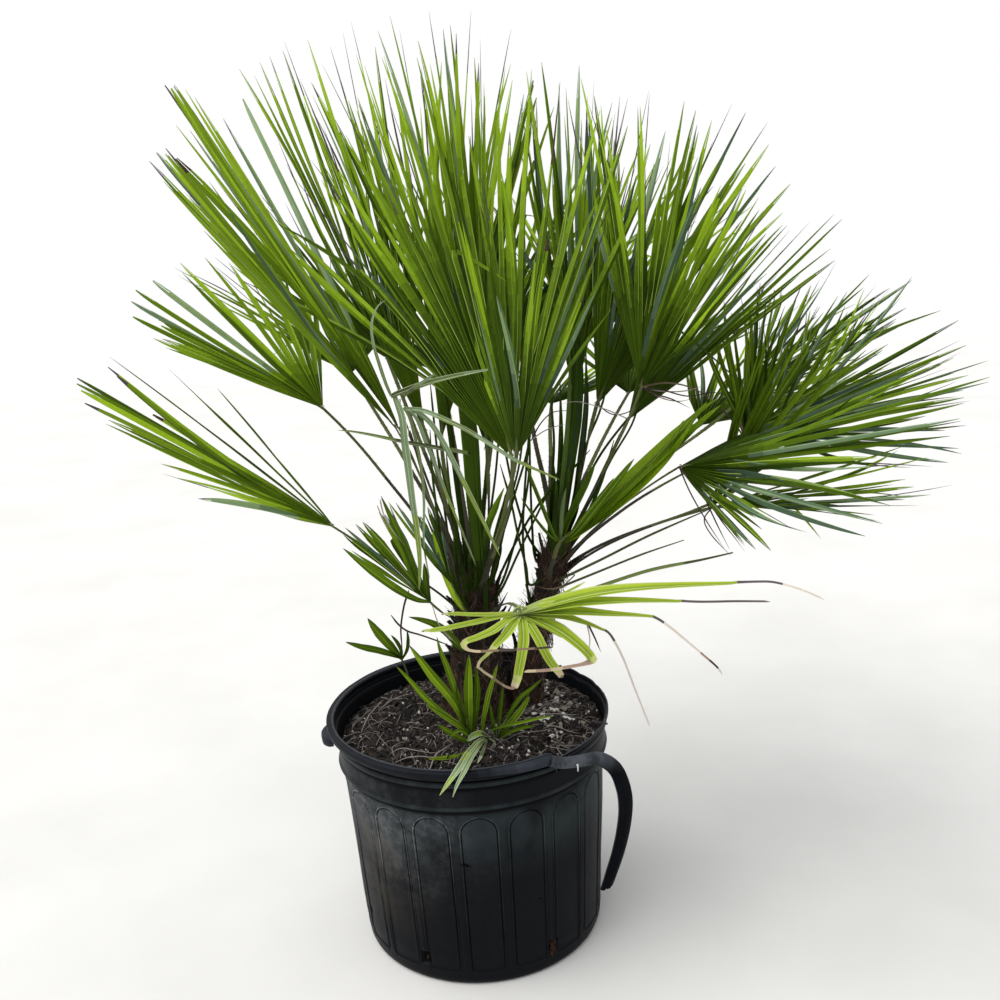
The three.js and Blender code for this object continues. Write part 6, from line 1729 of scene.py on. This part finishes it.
def build_lip():
    """The rolled lip, drooping and flared where it starts to tear."""
    a = np.concatenate([np.linspace(TEAR_END, 150, 90, endpoint=False), np.linspace(150, 230, 110, endpoint=False),
                        np.linspace(230, 360 + TEAR_START, 150)])
    section = np.array([  # radius, height (mm), walked from the inner foot over the top to the outer foot
        (211.2, 357.2), (210.9, 361.0), (210.6, 364.4), (210.9, 366.6), (211.8, 367.9), (213.0, 368.0), (213.9, 367.2), (215.0, 366.5),
        (217.5, 366.2), (219.4, 366.3), (220.9, 366.7), (221.9, 366.2), (222.4, 364.8), (222.5, 362.0), (222.2, 359.4), (221.6, 358.0),
        (220.4, 357.3), (219.2, 357.6), (218.4, 359.2), (216.5, 359.6), (214.6, 358.6), (214.2, 357.2)])
    n = len(section)
    A = np.radians(a)[:, None]
    deg = a[:, None]
    near = smooth(deg, 360 + TEAR_START - 26, 360 + TEAR_START - 6)  # flared stretch before the tear
    R = section[:, 0][None] + near * (section[:, 0][None] - 212) * 0.10
    Z = section[:, 1][None] + near * np.where(section[:, 0][None] > 215, -(section[:, 0][None] - 215) * 0.55, 0.0)
    w = np.stack([np.cos(A) + 0 * R, np.sin(A) + 0 * R, Z * 0.004], -1)
    R = R + fnoise(w, 3.0, 3) * 0.7
    Z = Z + fnoise(w, 2.3, 3) * 0.9 * smooth(Z, 357, 362) + fnoise(w, 24.0, 2) * 0.25
    # both ends are torn: thinner, uneven, bent
    end = np.maximum(1 - smooth(deg, TEAR_END, TEAR_END + 3.5), smooth(deg, 360 + TEAR_START - 2.6, 360 + TEAR_START))
    Z = Z + end * (vnoise(w, 30.0) * 1.6 - 1.5)
    R = R + end * (212.5 - R) * 0.55
    Z = np.minimum(Z, 369.5)
    pts = np.stack([R * np.cos(A), R * np.sin(A), Z], -1) * MM
    # the inner top of the lip is painted pale as a highlight
    edge = np.array([0, 0, 1, 1, 1, 1, 0, 0, 0, 0, 2, 2, 0, 0, 0, 0, 0, 3, 3, 3, 3, 3])
    s = Soup()
    skin = np.tile(edge, (len(a) - 1, 1))
    # the outer face of the flared stretch before the tear is painted lighter by steps, as where the light falls on it
    for k, back in enumerate((30, 25, 20.5, 16)):
        skin[(a[:-1] > 360 + TEAR_START - back)[:, None] & (np.arange(n) >= 7)[None] & (np.arange(n) <= 14)[None]] = 4 + k
    s.grid(pts, skin, close_u=True)
    for row, flip in ((pts[0], False), (pts[-1], True)):
        c = row.mean(0)
        s.put(np.vstack([row, c]), [((n, k, (k + 1) % n) if flip else (n, (k + 1) % n, k)) for k in range(n)], 1)
    s.make("pot_lip", [pot_lip_m, pot_edge_highlight, pot_lip_m, pot_dark, *lip_flare_highlight], ["pot_rim_lip"])


def build_lug():
    """A rounded grip lug under the lip: a shallow shell with a soft edge."""
    s = Soup()
    rows = []
    profile = [(0.0, 355.0, 0.80), (0.0, 354.9, 0.93), (0.0, 354.0, 1.0), (0.0, 350.0, 1.015), (0.0, 345.0, 1.0), (0.0, 342.0, 0.96), (0.0, 341.2, 0.90), (0, 341.6, 0.6)]
    m = 41
    u = np.linspace(-1, 1, m)
    for _, z, k in profile:
        depth = 17.0 * (1 - np.abs(u) ** 2.6) ** 0.62
        x = 214.6 + depth * k
        y = u * 30.0 * (0.5 + 0.5 * k)
        zz = z - 3.5 * (depth / 17.0) + 0.8 * np.sin(u * 3.0)
        rows.append(np.stack([x, y, zz], -1))
    pts = np.stack(rows)
    top = pts[0].copy()
    top[:, 0] = 214.6
    top[:, 2] = 355.6
    bottom = pts[-1].copy()
    bottom[:, 0] = 214.6
    pts = np.concatenate([top[None], pts, bottom[None]])
    w = math.radians(190)
    c, sn = math.cos(w), math.sin(w)
    out = np.stack([pts[..., 0] * c - pts[..., 1] * sn, pts[..., 0] * sn + pts[..., 1] * c, pts[..., 2]], -1) * MM
    out = out + (fnoise(out, 60.0, 2) * 0.0004)[..., None] * np.array([c, sn, 0.0])
    s.grid(out[:, ::-1], 0)
    s.make("pot_lug", [lug_reflection_m], ["pot_grip_lug"])


STRIP_PATH = np.array([
    [116, -194, 361], [134, -185, 352], [158, -171, 346], [186, -153, 338], [208, -142, 316],
    [219, -135, 284], [223, -131, 250], [220, -127, 210], [212, -123, 168], [201, -119, 130], [192, -115, 102]], float) * MM
STRIP_HALF = np.array([8, 8.5, 9, 10, 11, 12, 12.5, 12.5, 12, 11, 10]) * MM


def build_strip():
    """The torn length of lip: a channel-shaped ribbon that keeps the lip's curl and ends ragged."""
    n = 90
    path = spline(STRIP_PATH, n)
    half = np.interp(np.linspace(0, 10, n), np.arange(11), STRIP_HALF)
    t = unit(np.gradient(path, axis=0))
    facing = unit(np.array([0.5, -0.85, 0.1]))
    nn = unit(facing - t * (t @ facing)[:, None])
    w = np.cross(t, nn)
    u = np.linspace(0, 1, n)
    cols = 15
    x = np.linspace(-1, 1, cols)
    curl = 0.0048 * (np.abs(x) ** 2.4)[None, :] * (0.7 + 0.3 * np.sin(u * 9))[:, None]
    curl = curl + 0.0008 * np.exp(-((x - 0.35) / 0.12) ** 2)[None, :]
    wob = fnoise(np.stack([u * 6, u * 0, u * 0 + 4], 1), 1.0, 3)
    ragged = np.stack([vnoise(np.stack([x * 5, x * 0 + k, x * 0], 1), 1.0) for k in (1.0, 2.0)])
    out = []
    for side in (0.5, -0.5):
        p = (path[:, None] + w[:, None] * (half[:, None] * x[None, :] * (1 + 0.05 * wob[:, None]))[..., None]
             + nn[:, None] * (0.0013 * side * 2 - curl + 0.0012)[..., None])
        p[-1] += t[-1] * (ragged[0] * 0.004 + x * 0.004)[:, None]
        p[-2] += t[-1] * (ragged[0] * 0.002 + x * 0.002)[:, None]
        p[0] += t[0] * (ragged[1] * 0.002)[:, None]
        out.append(p)
    front, back = out
    ring = np.concatenate([front, back[:, ::-1]], 1)
    m = np.zeros((n - 1, 2 * cols), int)
    # the two long edges of the strip are painted pale as highlights
    m[:, cols - 1] = 1
    m[:, 2 * cols - 1] = 1
    m[:, cols:2 * cols - 1] = 2
    s = Soup()
    s.grid(ring, m, close_u=True)
    k = 2 * cols
    for row, flip in ((ring[0], False), (ring[-1], True)):
        q = [(j, j + 1, k - 2 - j, k - 1 - j) for j in range(cols - 1)]
        s.put(row, [tuple(reversed(f)) if flip else f for f in q], 1)
    s.make("torn_strip", [strip_top, pot_edge_highlight, pot_dark], ["torn_rim_strip"])
    # the white nick where the strip first tore, and a few shreds of plastic
    g = np.random.default_rng(5)
    sh = Soup()
    for at, ln, wd, m in ((0.17, 0.011, 0.0016, 0), (0.03, 0.012, 0.0011, 1), (0.06, 0.008, 0.0009, 1), (0.10, 0.006, 0.001, 1)):
        i = int(at * (n - 1))
        base = path[i] + nn[i] * 0.0035 + w[i] * g.uniform(-0.003, 0.003)
        pts = [base, base - UP * ln * 0.5 + nn[i] * 0.001, base - UP * ln + nn[i] * 0.0005]
        tube(sh, spline(pts, 7), np.linspace(wd, wd * 0.4, 7), sides=6, mat=m)
    sh.make("torn_shreds", [solid_material("plastic_stress_white", lin(190, 194, 196), rough=0.6), pot_edge_highlight])


build_pot()
build_lip()
build_lug()
build_strip()


# ------------------------------------------------------------------ potting mix
mix_dark = solid_material("mix_dark", (0.0045, 0.0036, 0.0032, 1), rough=0.95, vary=0.45, scale=260.0, spec=0.15, relief=0.8)
chip_mats = [
    solid_material("chip_black", (0.0055, 0.0048, 0.0048, 1), rough=0.9, vary=0.35, scale=180.0, spec=0.2),
    solid_material("chip_umber", (0.0135, 0.0108, 0.0108, 1), rough=0.9, vary=0.3, scale=180.0, spec=0.2),
    solid_material("chip_rust", (0.030, 0.0215, 0.0195, 1), rough=0.9, vary=0.3, scale=180.0, spec=0.2),
    solid_material("chip_grey", (0.066, 0.060, 0.060, 1), rough=0.85, vary=0.25, scale=180.0, spec=0.25),
    solid_material("chip_pale", (0.18, 0.155, 0.13, 1), rough=0.8, vary=0.2, scale=180.0, spec=0.3),
    solid_material("perlite", (0.48, 0.47, 0.45, 1), rough=0.7, vary=0.08, scale=220.0, spec=0.35),
    solid_material("straw", (0.165, 0.145, 0.132, 1), rough=0.75, vary=0.25, scale=90.0, spec=0.3),
    solid_material("fibre_dark", (0.040, 0.033, 0.031, 1), rough=0.85, vary=0.3, scale=90.0, spec=0.2),
]


def mix_height(x, y):
    r = np.hypot(x, y)
    base = np.where(r < 0.140, 0.345, 0.345 - (r - 0.140) / (0.2035 - 0.140) * 0.014)
    p = np.stack([x, y, 0 * x], -1)
    return base - 0.0030 + fnoise(p, 16.0, 3) * 0.0034 + fnoise(p, 90.0, 3) * 0.0022


def build_mix():
    s = Soup()
    rings = np.concatenate([[0.001], np.linspace(0.02, 0.2032, 78)])
    w = np.linspace(0, 2 * math.pi, 260, endpoint=False)
    R, W = np.meshgrid(rings, w, indexing="ij")
    x, y = R * np.cos(W), R * np.sin(W)
    s.grid(np.stack([x, y, mix_height(x, y)], -1), 0, close_u=True)
    s.make("mix_surface", [mix_dark], ["potting_mix"])

    g = np.random.default_rng(311)
    chips = Soup()

    def place():
        while True:
            x, y = g.uniform(-0.2, 0.2, 2)
            if x * x + y * y < 0.2015 ** 2:
                return x, y

    def chip(x, y, size, flat, mat, lift=0.25):
        """A broken piece of bark: a squashed, uneven eight-cornered block with chamfered top."""
        rot = g.uniform(0, 2 * math.pi)
        tilt = g.normal(0, 0.35, 2)
        l, b, h = size * g.uniform(0.8, 1.5), size * g.uniform(0.45, 0.9), size * flat * g.uniform(0.6, 1.3)
        k = np.array([(-1, -1, -1), (1, -1, -1), (1, 1, -1), (-1, 1, -1), (-1, -1, 0.2), (1, -1, 0.2), (1, 1, 0.2), (-1, 1, 0.2),
                      (-0.6, -0.55, 1), (0.62, -0.5, 1), (0.55, 0.6, 1), (-0.62, 0.52, 1)]) * [l, b, h] * 0.5
        k = k * (1 + g.uniform(-0.22, 0.22, (12, 3)))
        c, sn = math.cos(rot), math.sin(rot)
        k = np.stack([k[:, 0] * c - k[:, 1] * sn, k[:, 0] * sn + k[:, 1] * c, k[:, 2]], 1)
        k[:, 2] += k[:, 0] * tilt[0] + k[:, 1] * tilt[1]
        z = float(mix_height(np.array([x]), np.array([y]))[0])
        k += [x, y, z + h * lift]
        chips.put(k, [(3, 2, 1, 0), (0, 1, 5, 4), (1, 2, 6, 5), (2, 3, 7, 6), (3, 0, 4, 7), (4, 5, 9, 8), (5, 6, 10, 9), (6, 7, 11, 10),
                      (7, 4, 8, 11), (8, 9, 10, 11)], mat)

    for _ in range(6400):
        x, y = place()
        pale_side = 1.0 if (x > 0.03 and y > -0.12) else 0.45 if x < -0.05 else 0.2
        r = math.hypot(x, y)
        if g.random() < 0.25 and abs(x - 0.02) < 0.08 and y < -0.05:
            pale_side *= 0.3
        q = g.random()
        mat = (4 if q < 0.030 * pale_side + 0.004 else 3 if q < 0.14 * pale_side + 0.03 else 2 if q < 0.34 else 1 if q < 0.66 else 0)
        chip(x, y, float(np.clip(g.lognormal(math.log(0.0042), 0.42), 0.002, 0.014)), 0.45, mat)
    for _ in range(230):
        x, y = place()
        if y > 0.05 and g.random() < 0.5:
            continue
        chip(x, y, g.uniform(0.0016, 0.0036), 0.9, 5, lift=0.6)
    # a patch of pale chips towards the back on the right
    for _ in range(190):
        x, y = g.normal(0.118, 0.024), g.normal(0.03, 0.045)
        if x * x + y * y < 0.198 ** 2:
            chip(x, y, g.uniform(0.003, 0.011), 0.35, int(g.choice([3, 4, 4, 5])), lift=0.5)
    chips.make("mix_chips", chip_mats, smooth_faces=False)

    straws = Soup()
    for k in range(1350):
        x, y = place()
        straw = g.random() < 0.26
        ln = g.uniform(0.012, 0.055) if straw else g.uniform(0.008, 0.04)
        a = g.uniform(0, 2 * math.pi)
        bend = g.normal(0, 0.25)
        n = 7
        pts = []
        for j in range(n):
            u = j / (n - 1) - 0.5
            aa = a + bend * u * 2
            px, py = x + math.cos(aa) * u * ln, y + math.sin(aa) * u * ln
            rr = math.hypot(px, py)
            if rr > 0.201:
                px, py = px * 0.201 / rr, py * 0.201 / rr
            hz = float(mix_height(np.array([px]), np.array([py]))[0]) + 0.0022 + 0.0014 * math.cos(u * 5) + g.normal(0, 0.0003)
            pts.append((px, py, hz))
        rad = g.uniform(0.0003, 0.0007) if straw else g.uniform(0.0002, 0.0005)
        tube(straws, pts, rad * np.array([0.6, 1, 1, 1, 1, 0.9, 0.4]), sides=5, mat=6 if straw else 7)
    # longer pale blades of dead leaf lying on the front left and back
    for (x0, y0), (x1, y1), h, rad in (((-0.17, -0.02), (-0.145, 0.10), 0.010, 0.0011), ((-0.12, -0.10), (-0.045, -0.115), 0.006, 0.0010),
                                       ((-0.11, -0.125), (-0.03, -0.13), 0.006, 0.0012), ((-0.06, -0.16), (-0.025, -0.09), 0.012, 0.0014),
                                       ((-0.15, 0.05), (-0.09, 0.10), 0.008, 0.0010), ((0.09, -0.03), (0.17, -0.01), 0.006, 0.0012),
                                       ((0.10, 0.0), (0.16, 0.04), 0.007, 0.0012), ((0.05, -0.09), (0.13, -0.06), 0.006, 0.0009),
                                       ((0.11, -0.06), (0.165, -0.07), 0.006, 0.0010), ((-0.02, 0.15), (0.07, 0.13), 0.006, 0.0011)):
        n = 12
        u = np.linspace(0, 1, n)
        x, y = x0 + (x1 - x0) * u, y0 + (y1 - y0) * u + 0.004 * np.sin(u * 7)
        z = mix_height(x, y) + 0.003 + h * np.sin(math.pi * u) * (1 - 0.4 * u)
        tube(straws, np.stack([x, y, z], 1), rad * np.interp(u, [0, 0.2, 0.8, 1], [0.5, 1, 0.9, 0.2]), sides=6, mat=6, squash=0.5)
    straws.make("mix_straws", chip_mats)


build_mix()
build_loose()


# ------------------------------------------------------------------ floor, light and finish
def make_stage():
    n = 33
    xs = np.linspace(-6, 6, n)
    pts = np.array([[(x, y, -0.0006) for x in xs] for y in xs])
    s = Soup()
    s.grid(pts, 0)
    mesh = bpy.data.meshes.new("floor")
    mesh.from_pydata(np.concatenate(s.v).tolist(), [], s.f)
    m, nt = new_material("floor_paper")
    p = node(nt, "ShaderNodeBsdfPrincipled")
    c = noise(nt, mapped(nt, (1, 1, 1)), 3.0, 3.0)
    nt.links.new(ramp(nt, c, [(0.3, grey(0.50)), (0.7, grey(0.54))]), p.inputs["Base Color"])
    p.inputs["Roughness"].default_value = 0.9
    p.inputs["Specular IOR Level"].default_value = 0.1
    out = node(nt, "ShaderNodeOutputMaterial")
    nt.links.new(p.outputs[0], out.inputs[0])
    mesh.materials.append(m)
    floor = bpy.data.objects.new("floor", mesh)
    SCENE.collection.objects.link(floor)

    world = bpy.data.worlds.new("studio")
    SCENE.world = world
    world.use_nodes = True
    nt = world.node_tree
    nt.nodes.clear()
    bg = node(nt, "ShaderNodeBackground")
    bg.inputs["Color"].default_value = (1.0, 1.0, 1.0, 1)
    bg.inputs["Strength"].default_value = 1.0
    out = node(nt, "ShaderNodeOutputWorld")
    nt.links.new(bg.outputs[0], out.inputs[0])

    # a broad soft light high on the left
    from mathutils import Vector
    light = bpy.data.lights.new("key", "SUN")
    light.energy, light.angle, light.color = 3.4, 1.05, (1.0, 0.985, 0.94)
    key = bpy.data.objects.new("key", light)
    key.location = (-1.6, -0.2, 3.6)
    key.rotation_mode = "QUATERNION"
    key.rotation_quaternion = Vector((0.50, 0.20, -1.0)).to_track_quat("-Z", "Y")
    SCENE.collection.objects.link(key)


make_stage()
SCENE.view_settings.view_transform = "Standard"
SCENE.view_settings.look = "None"
SCENE.view_settings.exposure = 0.0
